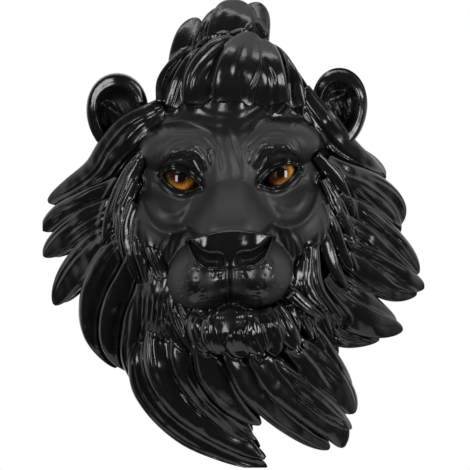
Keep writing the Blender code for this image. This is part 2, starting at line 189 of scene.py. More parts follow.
@dataclass
class Shell:
    """A closed surface: points in millimetres as (across, up, depth), and its faces."""

    points: np.ndarray
    quads: np.ndarray
    triangles: np.ndarray
    quad_uv: np.ndarray
    triangle_uv: np.ndarray
    gloss: np.ndarray

    def turned_out(self) -> "Shell":
        """Turn the faces outwards where the signed volume shows that they point inwards.

        Returns:
            This shell, or one with its faces turned round.
        """
        solid = self.points[:, [0, 2, 1]] * (1.0, -1.0, 1.0)
        quads = self.quads
        parts = [self.triangles, quads[:, [0, 1, 2]], quads[:, [0, 2, 3]]]
        corners = solid[np.concatenate(parts)]
        cross = np.cross(corners[:, 1], corners[:, 2])
        if np.einsum("ij,ij->", corners[:, 0], cross) >= 0.0:
            return self
        return Shell(
            self.points, quads[:, ::-1], self.triangles[:, ::-1],
            self.quad_uv[:, ::-1], self.triangle_uv[:, ::-1], self.gloss,
        )


def tube_shell(grid: np.ndarray, uv: np.ndarray, gloss: np.ndarray) -> Shell:
    """Close a tube given as a grid of points: rows along it, columns round it.

    Each end is closed by a fan to the mean of its ring.

    Args:
        grid: Points, rows by columns by 3.
        uv: Texture places, rows by columns + 1 by 2.
        gloss: Gloss of each point, rows by columns.

    Returns:
        The closed shell.
    """
    rows, columns = grid.shape[:2]
    index = np.arange(rows * columns).reshape(rows, columns)
    wrapped = np.concatenate([index, index[:, :1]], axis=1)
    quads = np.stack(
        [wrapped[:-1, :-1], wrapped[:-1, 1:], wrapped[1:, 1:], wrapped[1:, :-1]], axis=-1
    ).reshape(-1, 4)
    quad_uv = np.stack(
        [uv[:-1, :-1], uv[:-1, 1:], uv[1:, 1:], uv[1:, :-1]], axis=2
    ).reshape(-1, 4, 2)
    poles = np.stack([grid[0].mean(axis=0), grid[-1].mean(axis=0)])
    first = np.stack(
        [np.full(columns, rows * columns), wrapped[0, 1:], wrapped[0, :-1]], axis=-1
    )
    last = np.stack(
        [np.full(columns, rows * columns + 1), wrapped[-1, :-1], wrapped[-1, 1:]], axis=-1
    )
    first_uv = np.stack([uv[0, :-1], uv[0, 1:], uv[0, :-1]], axis=1)
    last_uv = np.stack([uv[-1, :-1], uv[-1, :-1], uv[-1, 1:]], axis=1)
    ends = np.array([gloss[0].mean(), gloss[-1].mean()])
    return Shell(
        np.concatenate([grid.reshape(-1, 3), poles]), quads, np.concatenate([first, last]),
        quad_uv, np.concatenate([first_uv, last_uv]), np.concatenate([gloss.ravel(), ends]),
    ).turned_out()


@dataclass(frozen=True)
class CastBox:
    """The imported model's box, which every piece stays inside."""

    low: tuple[float, float, float]
    high: tuple[float, float, float]
    margin: float = 0.00015

    def keep(self, points: np.ndarray) -> np.ndarray:
        """Return points in metres, held inside the box."""
        return np.clip(points, np.array(self.low) + self.margin, np.array(self.high) - self.margin)


class PieceMaker:
    """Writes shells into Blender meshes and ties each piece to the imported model."""

    def __init__(self, box: CastBox) -> None:
        """Keep the box that the pieces stay inside."""
        self.box = box

    def make(
        self, name: str, shells: list[Shell], finish: bpy.types.Material, node: str
    ) -> bpy.types.Object:
        """Make one piece out of closed shells.

        Args:
            name: Name of the piece.
            shells: Its closed surfaces.
            finish: Its material.
            node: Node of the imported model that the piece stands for.

        Returns:
            The new object.
        """
        starts = np.cumsum([0] + [len(shell.points) for shell in shells])
        points = np.concatenate([shell.points for shell in shells]) * MM
        place = self.box.keep(np.stack([points[:, 0], -points[:, 2], points[:, 1]], axis=1))
        quads = np.concatenate([shell.quads + at for shell, at in zip(shells, starts)])
        triangles = np.concatenate([shell.triangles + at for shell, at in zip(shells, starts)])
        mesh = bpy.data.meshes.new(name)
        mesh.vertices.add(len(place))
        mesh.vertices.foreach_set("co", place.astype(np.float32).ravel())
        mesh.loops.add(4 * len(quads) + 3 * len(triangles))
        mesh.loops.foreach_set(
            "vertex_index", np.concatenate([quads.ravel(), triangles.ravel()]).astype(np.int32)
        )
        sizes = np.concatenate([np.full(len(quads), 4), np.full(len(triangles), 3)])
        mesh.polygons.add(len(sizes))
        mesh.polygons.foreach_set(
            "loop_start", np.concatenate([[0], np.cumsum(sizes)[:-1]]).astype(np.int32)
        )
        mesh.update(calc_edges=True)
        flow = mesh.uv_layers.new(name="flow")
        flow.data.foreach_set("uv", np.concatenate(
            [shell.quad_uv.ravel() for shell in shells]
            + [shell.triangle_uv.ravel() for shell in shells]
        ).astype(np.float32))
        gloss = mesh.attributes.new("gloss", "FLOAT", "POINT")
        gloss.data.foreach_set(
            "value", np.concatenate([shell.gloss for shell in shells]).astype(np.float32)
        )
        mesh.shade_smooth()
        mesh.materials.append(finish)
        piece = bpy.data.objects.new(name, mesh)
        bpy.context.scene.collection.objects.link(piece)
        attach(piece, BODY)
        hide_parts(node)
        LOG.info("%s: %d faces", name, len(sizes))
        return piece


class Term:
    """A shader socket that takes part in expressions: each operator adds a Math node."""

    def __init__(self, graph: "Graph", socket: bpy.types.NodeSocket) -> None:
        """Wrap a socket of the graph."""
        self.graph = graph
        self.socket = socket

    def math(self, operation: str, *others: "Term | float") -> "Term":
        """Add a Math node on this term.

        Args:
            operation: Operation of the Math node.
            others: Its further values.

        Returns:
            The node's value.
        """
        settings = {"operation": operation}
        values = {0: self, **{index + 1: other for index, other in enumerate(others)}}
        return self.graph.node("ShaderNodeMath", settings, values)["Value"]

    def __add__(self, other: "Term | float") -> "Term":
        """Return the sum."""
        return self.math("ADD", other)

    def __sub__(self, other: "Term | float") -> "Term":
        """Return the difference."""
        return self.math("SUBTRACT", other)

    def __mul__(self, other: "Term | float") -> "Term":
        """Return the product."""
        return self.math("MULTIPLY", other)

    def __truediv__(self, other: "Term | float") -> "Term":
        """Return the quotient."""
        return self.math("DIVIDE", other)

    def __rsub__(self, other: float) -> "Term":
        """Return other minus this term."""
        values = {0: other, 1: self}
        return self.graph.node("ShaderNodeMath", {"operation": "SUBTRACT"}, values)["Value"]

    __radd__ = __add__
    __rmul__ = __mul__

    def ease(self, low: float, high: float) -> "Term":
        """Ease the term from 0 at low to 1 at high.

        Args:
            low: Value that becomes 0.
            high: Value that becomes 1.

        Returns:
            The eased value.
        """
        settings = {"interpolation_type": "SMOOTHSTEP"}
        values = {"Value": self, "From Min": low, "From Max": high}
        return self.graph.node("ShaderNodeMapRange", settings, values)["Result"]


class Outputs:
    """The outputs of a new node, each read as a Term by its name."""

    def __init__(self, graph: "Graph", node: bpy.types.Node) -> None:
        """Keep the node."""
        self.graph = graph
        self.node = node

    def __getitem__(self, name: str) -> Term:
        """Return the named output."""
        return Term(self.graph, self.node.outputs[name])


class Graph:
    """A material or world whose nodes are added by type, settings and inputs."""

    def __init__(self, owner: bpy.types.Material | bpy.types.World) -> None:
        """Turn the owner's nodes on and clear them.

        Args:
            owner: The material or world.
        """
        owner.use_nodes = True
        self.tree = owner.node_tree
        self.tree.nodes.clear()

    def node(self, kind: str, settings: dict | None = None, inputs: dict | None = None) -> Outputs:
        """Add one node.

        Args:
            kind: Node type.
            settings: Properties of the node, set first; a list under "stops" fills a ramp.
            inputs: Values or Terms for its sockets, by name or number.

        Returns:
            The node's outputs.
        """
        made = self.tree.nodes.new(kind)
        for name, value in (settings or {}).items():
            if name == "stops":
                self._fill_ramp(made.color_ramp, value)
            else:
                setattr(made, name, value)
        for name, value in (inputs or {}).items():
            if isinstance(value, Term):
                self.tree.links.new(value.socket, made.inputs[name])
            else:
                made.inputs[name].default_value = value
        return Outputs(self, made)

    @staticmethod
    def _fill_ramp(ramp: bpy.types.ColorRamp, stops: list) -> None:
        """Give a ramp its stops.

        Args:
            ramp: The ramp.
            stops: Its stops, each a position and a colour.
        """
        while len(ramp.elements) > len(stops):
            ramp.elements.remove(ramp.elements[-1])
        while len(ramp.elements) < len(stops):
            ramp.elements.new(1.0)
        for element, (position, colour) in zip(ramp.elements, stops):
            element.position = position
            element.color = colour

    def noise(self, place: Term, scale: float, detail: float = 2.0, rough: float = 0.5) -> Term:
        """Add a noise texture.

        Args:
            place: Coordinates that it reads.
            scale: Number of spots along one unit of the coordinates.
            detail: Number of finer layers.
            rough: Weight of the finer layers.

        Returns:
            The noise, about 0.5 on average.
        """
        values = {"Vector": place, "Scale": scale, "Detail": detail, "Roughness": rough}
        return self.node("ShaderNodeTexNoise", {}, values)["Fac"]

    def mix(self, share: Term, first: Term | tuple, second: Term | tuple) -> Term:
        """Mix two colours.

        Args:
            share: Share of the second colour.
            first: First colour.
            second: Second colour.

        Returns:
            The mixed colour.
        """
        made = self.node("ShaderNodeMix", {"data_type": "RGBA"})
        sockets = made.node.inputs
        for name, value in ((0, share), (6, first), (7, second)):
            if isinstance(value, Term):
                self.tree.links.new(value.socket, sockets[name])
            else:
                sockets[name].default_value = value
        return Term(self, made.node.outputs[2])


@dataclass(frozen=True)
class ResinFinish:
    """Black resin: satin where it is brushed over, glossy on hair, nose and folds."""

    name: str
    satin_colour: Colour = (0.0088, 0.0088, 0.0091, 1.0)
    gloss_colour: Colour = (0.0056, 0.0056, 0.0059, 1.0)
    satin_roughness: float = 0.55
    gloss_roughness: float = 0.16
    hair_stretch: float = 0.035
    hair_scale: float = 1.3
    hair_detail: float = 3.0
    hair_bump: float = 0.07
    ripple_size: float = 5.0 * MM
    ripple_bump: float = 0.5
    ripple_wear: float = 0.12
    pore_size: float = 1.1 * MM
    pore_detail: float = 4.0
    pore_weight: float = 0.6
    pore_bump: float = 0.25
    pore_bump_lost: float = 0.18
    pore_wear: float = 0.1
    bump_strength: float = 0.55
    bump_distance: float = 0.6 * MM

    def build(self) -> bpy.types.Material:
        """Build the material.

        The point attribute gloss turns satin into gloss. Fine hair lines run along the v
        direction of the flow map, and soft ripples and pores come from Object coordinates.

        Returns:
            The material.
        """
        made = bpy.data.materials.new(self.name)
        graph = Graph(made)
        place = graph.node("ShaderNodeTexCoord")["Object"]
        gloss = graph.node("ShaderNodeAttribute", {"attribute_name": "gloss"})["Fac"]
        flow = graph.node("ShaderNodeUVMap", {"uv_map": "flow"})["UV"]
        stretched = graph.node("ShaderNodeMapping", {}, {
            "Vector": flow, "Scale": (1.0, self.hair_stretch, 1.0),
        })["Vector"]
        hair = graph.noise(stretched, self.hair_scale, self.hair_detail)
        ripple = graph.noise(place, 1.0 / self.ripple_size)
        pores = graph.noise(place, 1.0 / self.pore_size, self.pore_detail, self.pore_weight)
        relief = hair * self.hair_bump * gloss + ripple * self.ripple_bump
        relief = relief + pores * (self.pore_bump - self.pore_bump_lost * gloss)
        bump = graph.node("ShaderNodeBump", {}, {
            "Height": relief, "Strength": self.bump_strength, "Distance": self.bump_distance,
        })["Normal"]
        wear = (ripple - 0.5) * self.ripple_wear + (pores - 0.5) * self.pore_wear
        satin_part = (1.0 - gloss) * (self.satin_roughness - self.gloss_roughness)
        shader = graph.node("ShaderNodeBsdfPrincipled", {}, {
            "Base Color": graph.mix(gloss, self.satin_colour, self.gloss_colour),
            "Roughness": satin_part + self.gloss_roughness + wear,
            "Normal": bump,
        })["BSDF"]
        graph.node("ShaderNodeOutputMaterial", {}, {"Surface": shader})
        return made


@dataclass(frozen=True)
class GlassEyeFinish:
    """Polished glass over a painted iris: amber with radial fibres, and a dark pupil.

    The iris is painted with light and shade: a crescent of painted light, as if light shone
    through the glass, lies on the side that the direction points to, with painted shade
    opposite. The polish is full on the outward side and low on the side of the nose.
    """

    name: str
    centre: tuple[float, float, float]
    # direction across the iris of the painted light; painted shade lies opposite
    painted_light_direction: Span
    outward: int
    pupil_radius: float = 3.4 * MM
    pupil_edge: float = 0.15
    iris_radius: float = 10.8 * MM
    amber: Colour = (0.12, 0.036, 0.006, 1.0)
    honey: Colour = (0.46, 0.21, 0.03, 1.0)
    brown: Colour = (0.018, 0.006, 0.003, 1.0)
    black: Colour = (0.004, 0.003, 0.003, 1.0)
    ring_places: tuple[float, ...] = (0.0, 0.18, 0.56, 0.76, 0.95)
    fibre_turns: float = 9.0
    fibre_rings: float = 260.0
    fibre_scale: float = 1.6
    fibre_detail: float = 3.0
    fibre_share: float = 0.5
    # span of the painted light across the iris, and the least of it left in the painted shade
    painted_light_span: Span = (-1.5 * MM, 7.0 * MM)
    least_painted_light: float = 0.02
    polish_span: Span = (-3.0 * MM, 0.5 * MM)
    least_polish: float = 0.05
    roughness: float = 0.3
    coat_roughness: float = 0.02

    def build(self) -> bpy.types.Material:
        """Build the material, whose rings lie round the line of sight of the eye.

        Returns:
            The material.
        """
        made = bpy.data.materials.new(self.name)
        graph = Graph(made)
        place = graph.node("ShaderNodeTexCoord")["Object"]
        local = graph.node(
            "ShaderNodeVectorMath", {"operation": "SUBTRACT"}, {0: place, 1: self.centre}
        )["Vector"]
        axes = graph.node("ShaderNodeSeparateXYZ", {}, {0: local})
        across, up = axes["X"], axes["Z"]
        ring = (across * across + up * up).math("SQRT")
        turn = up.math("ARCTAN2", across)
        fibre_place = graph.node("ShaderNodeCombineXYZ", {}, {
            "X": turn * self.fibre_turns, "Y": ring * self.fibre_rings, "Z": 0.0,
        })["Vector"]
        fibres = graph.noise(fibre_place, self.fibre_scale, self.fibre_detail)
        share = (ring - self.pupil_radius) / (self.iris_radius - self.pupil_radius)
        share = share + (fibres - 0.5) * self.fibre_share
        colours = (self.brown, self.amber, self.honey, self.amber, self.brown)
        stops = list(zip(self.ring_places, colours))
        rings = graph.node("ShaderNodeValToRGB", {"stops": stops}, {"Fac": share})["Color"]
        # painted light: a crescent where the iris is painted bright as if lit through the glass, and
        # painted shade elsewhere
        painted_light = (across * self.painted_light_direction[0] + up * self.painted_light_direction[1]).ease(*self.painted_light_span)
        # in the painted shade the iris is nearly the dark brown, so the amber and honey rings show
        # only in the painted light
        painted = graph.mix(painted_light * (1.0 - self.least_painted_light) + self.least_painted_light, self.brown, rings)
        edge = self.pupil_radius * self.pupil_edge
        pupil = ring.ease(self.pupil_radius + edge, self.pupil_radius - edge)
        polish = (across * self.outward).ease(*self.polish_span)
        shader = graph.node("ShaderNodeBsdfPrincipled", {}, {
            "Base Color": graph.mix(pupil, painted, self.black),
            "Roughness": self.roughness,
            "Specular IOR Level": 0.0,
            "Coat Weight": polish * (1.0 - self.least_polish) + self.least_polish,
            "Coat Roughness": self.coat_roughness,
        })["BSDF"]
        graph.node("ShaderNodeOutputMaterial", {}, {"Surface": shader})
        return made


@dataclass(frozen=True)
class Mound:
    """An ellipsoid cap of the face: where it stands, how wide it is, its foot and its top."""

    across: float
    up: float
    half_width: float
    half_height: float
    foot: float
    top: float
    blend: float = 0.0

    def depth(self, side: np.ndarray, up: np.ndarray, fall: float) -> np.ndarray:
        """Depth of the cap: foot + (top - foot) sqrt(1 - q^2), and a slope outside q = 1.

        Args:
            side: Distances from the face axis.
            up: Heights.
            fall: Slope of the surface outside the cap.

        Returns:
            The depths.
        """
        reach = ((side - self.across) / self.half_width) ** 2
        reach = reach + ((up - self.up) / self.half_height) ** 2
        cap = (self.top - self.foot) * np.sqrt(np.maximum(1.0 - reach, 0.0))
        return self.foot + cap - fall * np.maximum(np.sqrt(reach) - 1.0, 0.0)


@dataclass(frozen=True)
class Fold:
    """A ridge or, with a negative height, a groove along a path on the face."""

    path: Path
    height: float
    width: float
    gloss: float = 0.0
    mirrored: bool = True
    start_fade: Span = (-0.1, 0.2)
    end_fade: Span = (1.1, 0.8)

    def shape(self, across: np.ndarray, up: np.ndarray) -> np.ndarray:
        """Share of the fold's height: a bell across the path that fades at both ends.

        Args:
            across: Distances from the face axis, signed.
            up: Heights.

        Returns:
            The shares, between 0 and 1.
        """
        gap, along = path_distance(np.abs(across) if self.mirrored else across, up, self.path)
        fade = smooth_step(*self.start_fade, along) * smooth_step(*self.end_fade, along)
        return bell(gap, self.width) * fade


@dataclass(frozen=True)
class EyeShape:
    """Place and size of an eye and of the opening between its lids."""

    across: float = 31.3
    up: float = 36.6
    depth: float = 64.0
    radius: float = 12.3
    slope: float = math.radians(20.0)
    half_length: float = 12.2
    upper_height: float = 4.6
    lower_height: float = 5.4
    opening_drop: float = 0.8
    upper_skew: float = 0.3
    lower_skew: float = -0.2
    arch_power: float = 0.8

    def frame(self, side: np.ndarray, up: np.ndarray) -> tuple[np.ndarray, np.ndarray]:
        """Turn places on the face into places along and across the opening.

        Args:
            side: Distances from the face axis.
            up: Heights.

        Returns:
            Distance along the opening from its middle, outwards positive, and above it.
        """
        shift = side - self.across
        rise = up - self.up + self.opening_drop
        along = shift * math.cos(self.slope) + rise * math.sin(self.slope)
        over = rise * math.cos(self.slope) - shift * math.sin(self.slope)
        return along, over

    def gap(self, along: np.ndarray, over: np.ndarray) -> np.ndarray:
        """Distance outside the opening's edge, negative inside.

        The edges are arches h (1 - s^2)^p over the long axis, fuller towards the outside
        above and towards the inside below.

        Args:
            along: Distances along the opening from its middle.
            over: Distances above its long axis.

        Returns:
            The distances.
        """
        share = np.clip(along / self.half_length, -1.0, 1.0)
        arch = (1.0 - share ** 2) ** self.arch_power
        upper = self.upper_height * arch * (1.0 + self.upper_skew * share)
        lower = self.lower_height * arch * (1.0 + self.lower_skew * share)
        within = np.where(over > 0.0, over - upper, -over - lower)
        beyond = np.hypot(np.abs(along) - self.half_length, over)
        return np.where(np.abs(along) > self.half_length, beyond, within)


@dataclass(frozen=True)
class Lids:
    """The lids over the eyeball: a rolled rim, a groove outside it and a low roll below."""

    thickness: float = 1.5
    cover_fall: float = 4.0
    corner: Span = (19.0, 12.0)
    rim: float = 1.6
    rim_gap: float = 1.3
    rim_width: float = 1.0
    groove: float = 0.9
    groove_gap: float = 3.6
    groove_width: float = 1.1
    upper_groove: float = 1.6
    upper_widening: float = 0.6
    roll: float = 0.7
    roll_gap: float = 5.4
    roll_width: float = 1.0
    gloss_reach: float = 4.5
    upper_gloss: float = 2.0
    full_gloss: float = 3.0
    gloss_corner: Span = (20.0, 14.0)
    opening_edge: Span = (0.1, -0.6)
    opening_depth: float = 9.0

    def carve(
        self, eye: EyeShape, side: np.ndarray, up: np.ndarray, depth: np.ndarray, gloss: np.ndarray
    ) -> tuple[np.ndarray, np.ndarray]:
        """Lay the lids over each eyeball and drop the surface inside the opening.

        Rim, groove and roll are bells of the distance from the opening's edge. The lids
        follow a ball whose radius is the eye's and their thickness together.

        Args:
            eye: The eye and its opening.
            side: Distances from the face axis.
            up: Heights.
            depth: Depths so far.
            gloss: Gloss so far.

        Returns:
            The depths and the gloss with the lids.
        """
        along, over = eye.frame(side, up)
        reach = np.sqrt((side - eye.across) ** 2 + (up - eye.up) ** 2)
        cover = eye.radius + self.thickness
        ball = eye.depth + np.sqrt(np.maximum(cover ** 2 - reach ** 2, 0.0))
        ball = np.where(reach < cover, ball, eye.depth - self.cover_fall * (reach - cover))
        depth = soft_max(depth, ball, self.thickness)
        gap = eye.gap(along, over)
        above = smooth_step(-1.0, 1.0, over)
        ends = smooth_step(*self.corner, np.abs(along))
        depth = depth + self.rim * bell(gap - self.rim_gap, self.rim_width) * ends
        groove = bell(gap - self.groove_gap, self.groove_width + self.upper_widening * above)
        depth = depth - (self.groove + self.upper_groove * above) * groove * ends
        depth = depth + self.roll * bell(gap - self.roll_gap, self.roll_width) * ends * (1.0 - above)
        shine = smooth_step(self.gloss_reach + self.upper_gloss * above, self.full_gloss, gap)
        gloss = np.maximum(gloss, shine * smooth_step(*self.gloss_corner, np.abs(along)))
        return depth - self.opening_depth * smooth_step(*self.opening_edge, gap), gloss


@dataclass(frozen=True)
class Sockets:
    """The hollows round the eyes, with a low ridge round the lower, outer part of each."""

    across: float = 36.5
    up: float = 34.0
    half_width: float = 20.5
    half_height: float = 30.5
    below: Span = (44.0, 26.0)
    outwards: Span = (18.0, 30.0)
    hollow: float = 3.4
    hollow_edge: Span = (1.03, 0.84)
    ridge: float = 1.6
    ridge_ring: float = 1.04
    ridge_width: float = 0.08
    pleat: float = 0.5
    pleat_ring: float = 0.64
    pleat_groove_ring: float = 0.78
    pleat_width: float = 0.07
    eye_hollow: float = 7.5
    eye_place: Span = (30.0, 35.0)
    eye_reach: Span = (15.0, 10.0)

    def carve(self, side: np.ndarray, up: np.ndarray, depth: np.ndarray) -> np.ndarray:
        """Sink the sockets: steps and bells of the distance from an oval round each eye.

        Args:
            side: Distances from the face axis.
            up: Heights.
            depth: Depths so far.

        Returns:
            The depths with the sockets.
        """
        ring = np.hypot((side - self.across) / self.half_width, (up - self.up) / self.half_height)
        lower = smooth_step(*self.below, up) * smooth_step(*self.outwards, side)
        depth = depth - self.hollow * smooth_step(*self.hollow_edge, ring) * lower
        depth = depth + self.ridge * bell(ring - self.ridge_ring, self.ridge_width) * lower
        pleat = bell(ring - self.pleat_ring, self.pleat_width)
        pleat = pleat - bell(ring - self.pleat_groove_ring, self.pleat_width)
        depth = depth + self.pleat * pleat * lower
        hollow = self.eye_hollow * bell(side - self.eye_place[0], self.eye_reach[0])
        return depth - hollow * bell(up - self.eye_place[1], self.eye_reach[1])


@dataclass(frozen=True)
class Brow:
    """The brows with their arched wrinkles, and the glossier forehead and temples."""

    across: float = 27.0
    up: float = 40.0
    half_width: float = 23.0
    half_height: float = 27.5
    sway: float = 0.012
    sway_count: float = 9.0
    waviness: float = 0.04
    waves: Noise = Noise(30.0, 12)
    wrinkle: float = 0.3
    wrinkle_count: float = 8.0
    wrinkle_sway: float = 0.12
    wrinkle_sway_count: float = 5.0
    wrinkle_start: Span = (0.45, 0.6)
    lower_edge: Span = (46.0, 52.0)
    outer_edge: Span = (1.02, 0.95)
    ridge: float = 0.5
    ridge_ring: float = 0.98
    ridge_width: float = 0.08
    ridge_edge: Span = (46.0, 54.0)
    forehead_ring: Span = (0.97, 1.1)
    forehead_edge: Span = (58.0, 66.0)
    forehead_drop: float = 0.3
    forehead_gloss: float = 0.65
    streak: float = 0.14
    streak_stretch: float = 3.2
    streak_arch: float = 0.05
    streaks: Noise = Noise(16.0, 9)
    temple_side: Span = (50.0, 61.0)
    temple_edge: Span = (18.0, 34.0)
    temple_gloss: float = 0.8

    def carve(
        self, across: np.ndarray, up: np.ndarray, depth: np.ndarray, gloss: np.ndarray
    ) -> tuple[np.ndarray, np.ndarray]:
        """Carve wrinkles, which are sines of the distance from an oval, and the forehead.

        Args:
            across: Distances from the face axis, signed.
            up: Heights.
            depth: Depths so far.
            gloss: Gloss so far.

        Returns:
            The depths and the gloss with brows and forehead.
        """
        side = np.abs(across)
        turn = np.arctan2(up - self.up, side - self.across)
        arch = np.hypot((side - self.across) / self.half_width, (up - self.up) / self.half_height)
        arch = arch + self.sway * np.sin(self.sway_count * turn)
        arch = arch + self.waviness * self.waves.at(across, up)
        sway = self.wrinkle_sway * np.sin(self.wrinkle_sway_count * turn)
        wrinkle = np.sin(2.0 * math.pi * (self.wrinkle_count * arch + sway))
        brow = smooth_step(*self.lower_edge, up) * smooth_step(*self.outer_edge, arch)
        depth = depth + self.wrinkle * wrinkle * brow * smooth_step(*self.wrinkle_start, arch)
        ridge = self.ridge * bell(arch - self.ridge_ring, self.ridge_width)
        depth = depth + ridge * smooth_step(*self.ridge_edge, up)
        forehead = smooth_step(*self.forehead_ring, arch) * smooth_step(*self.forehead_edge, up)
        arched = self.streak_stretch * up - self.streak_arch * across ** 2
        streaks = self.streak * self.streaks.at(across, arched)
        depth = depth + (streaks - self.forehead_drop) * forehead
        temple = smooth_step(*self.temple_side, side) * smooth_step(*self.temple_edge, up)
        shine = np.maximum(self.forehead_gloss * forehead, self.temple_gloss * temple)
        return depth, np.maximum(gloss, shine)


@dataclass(frozen=True)
class Cheeks:
    """Soft flutes down the cheeks, and the furrowed, glossy hair at the jaw below them."""

    flute: float = 0.28
    streak_rates: Span = (1.9, 0.35)
    streak_sway: Span = (1.2, 0.21)
    inner_side: Span = (26.0, 32.0)
    outer_side: Span = (52.0, 44.0)
    top: Span = (0.0, -8.0)
    bottom: Span = (-40.0, -22.0)
    hair_side: Span = (36.0, 42.0)
    hair_top: Span = (-32.0, -42.0)
    hair_furrow: float = 0.8
    hair_drop: float = 3.0

    def carve(
        self, side: np.ndarray, up: np.ndarray, depth: np.ndarray, gloss: np.ndarray
    ) -> tuple[np.ndarray, np.ndarray]:
        """Carve the flutes and furrows, which are one sine across that sways with height.

        Args:
            side: Distances from the face axis.
            up: Heights.
            depth: Depths so far.
            gloss: Gloss so far.

        Returns:
            The depths and the gloss with the cheeks.
        """
        sway = self.streak_sway[0] * np.sin(self.streak_sway[1] * up)
        streak = np.sin(self.streak_rates[0] * side + self.streak_rates[1] * up + sway)
        flank = smooth_step(*self.inner_side, side) * smooth_step(*self.outer_side, side)
        flute = self.flute * streak * flank * smooth_step(*self.top, up)
        depth = depth + flute * smooth_step(*self.bottom, up)
        hair = smooth_step(*self.hair_side, side) * smooth_step(*self.hair_top, up)
        depth = depth + (self.hair_furrow * streak - self.hair_drop) * hair
        return depth, np.maximum(gloss, hair)


@dataclass(frozen=True)
class Nose:
    """The bridge of the nose, the nose pad and the nostrils."""

    root_depth: float = 86.0
    rise: float = 25.0
    rise_span: Span = (38.0, 2.0)
    forehead_fall: float = 10.0
    forehead_span: Span = (48.0, 80.0)
    half_width: float = 12.0
    widening: float = 7.0
    widening_span: Span = (48.0, 0.0)
    crown: float = 1.4
    flank_drop: float = 32.0
    flank_share: float = 1.25
    flank_power: int = 5
    flank_foot: float = 1.9
    end_drop: float = 70.0
    end_span: Span = (-4.0, -18.0)
    end_arch: float = 6.0
    step: float = 1.3
    step_top: float = 33.5
    step_arch: float = 0.026
    step_rise: Span = (-1.8, 1.8)
    step_fade: Span = (30.0, 6.0)
    pad_top: float = 2.4
    pad_arch: float = 0.0058
    pad_bottom: float = -21.0
    pad_bottom_rise: float = 18.0
    pad_half_width: float = 27.0
    pad_edge: Span = (-0.6, 0.9)
    pad_side_edge: Span = (28.5, 27.0)
    pad_depth: float = 113.2
    pad_curve: float = 0.003
    pad_tuck: float = 2.5
    pad_tuck_span: Span = (-8.0, -20.0)
    pad_blend: float = 1.5
    wing: float = 2.3
    wing_place: Span = (14.0, -4.5)
    wing_width: float = 6.5
    nostril: Path = ((8.5, -16.5), (14.5, -15.8), (20.5, -11.5), (25.5, -4.0))
    nostril_width: float = 3.9
    nostril_taper: float = 2.4
    nostril_side: Span = (30.0, 25.0)
    nostril_depth: float = 11.0

    def bridge(self, side: np.ndarray, up: np.ndarray, fall: float) -> np.ndarray:
        """Depth of the bridge, which widens and rises down to the pad.

        Its flanks drop by d (1 - exp(-(s / k)^p)) over the share s of its half width, and a
        low arched step starts the smooth plate below the eyes.

        Args:
            side: Distances from the face axis.
            up: Heights.
            fall: Slope beside the foot of the flanks.

        Returns:
            The depths.
        """
        middle = self.root_depth + self.rise * smooth_step(*self.rise_span, up)
        middle = middle - self.forehead_fall * smooth_step(*self.forehead_span, up)
        share = side / (self.half_width + self.widening * smooth_step(*self.widening_span, up))
        flank = (share / self.flank_share) ** self.flank_power
        drop = self.flank_drop * (1.0 - np.exp(-flank))
        drop = drop + fall * np.maximum(share - self.flank_foot, 0.0)
        end = self.end_drop * smooth_step(*self.end_span, up - self.end_arch * share ** 2)
        arch = self.step_top - self.step_arch * side ** 2 - up
        step = self.step * smooth_step(*self.step_rise, arch) * smooth_step(*self.step_fade, arch)
        return middle + step - self.crown * share ** 2 - drop - end

    def pad_share(self, side: np.ndarray, up: np.ndarray) -> np.ndarray:
        """Share of the nose pad: 1 inside its outline, easing to 0 over 1.5 mm.

        The outline is an arch above, and below a line that turns up at the sides.

        Args:
            side: Distances from the face axis.
            up: Heights.

        Returns:
            The shares.
        """
        top = self.pad_top - self.pad_arch * side ** 2
        share = np.clip(side / self.pad_half_width, 0.0, 1.2)
        bottom = self.pad_bottom + self.pad_bottom_rise * share ** 6
        inside = np.minimum(top - up, up - bottom)
        return smooth_step(*self.pad_edge, inside) * smooth_step(*self.pad_side_edge, side)

    def nostril_share(self, side: np.ndarray, up: np.ndarray) -> np.ndarray:
        """Share of the nostrils: a bell round a curved path that narrows outwards.

        Args:
            side: Distances from the face axis.
            up: Heights.

        Returns:
            The shares.
        """
        gap, along = path_distance(side, up, self.nostril)
        width = self.nostril_width - self.nostril_taper * along
        return bell(gap, width) * smooth_step(*self.nostril_side, side)

    def carve(
        self, side: np.ndarray, up: np.ndarray, depth: np.ndarray, pad: np.ndarray
    ) -> np.ndarray:
        """Raise the pad with its wings, and sink the nostrils.

        Args:
            side: Distances from the face axis.
            up: Heights.
            depth: Depths so far.
            pad: Shares of the pad.

        Returns:
            The depths with the nose.
        """
        crown = self.pad_depth - self.pad_curve * side ** 2
        crown = crown - self.pad_tuck * smooth_step(*self.pad_tuck_span, up)
        depth = depth * (1.0 - pad) + soft_max(depth, crown, self.pad_blend) * pad
        wing = self.wing * bell(side - self.wing_place[0], self.wing_width)
        depth = depth + wing * bell(up - self.wing_place[1], self.wing_width) * pad
        return depth - self.nostril_depth * self.nostril_share(side, up)


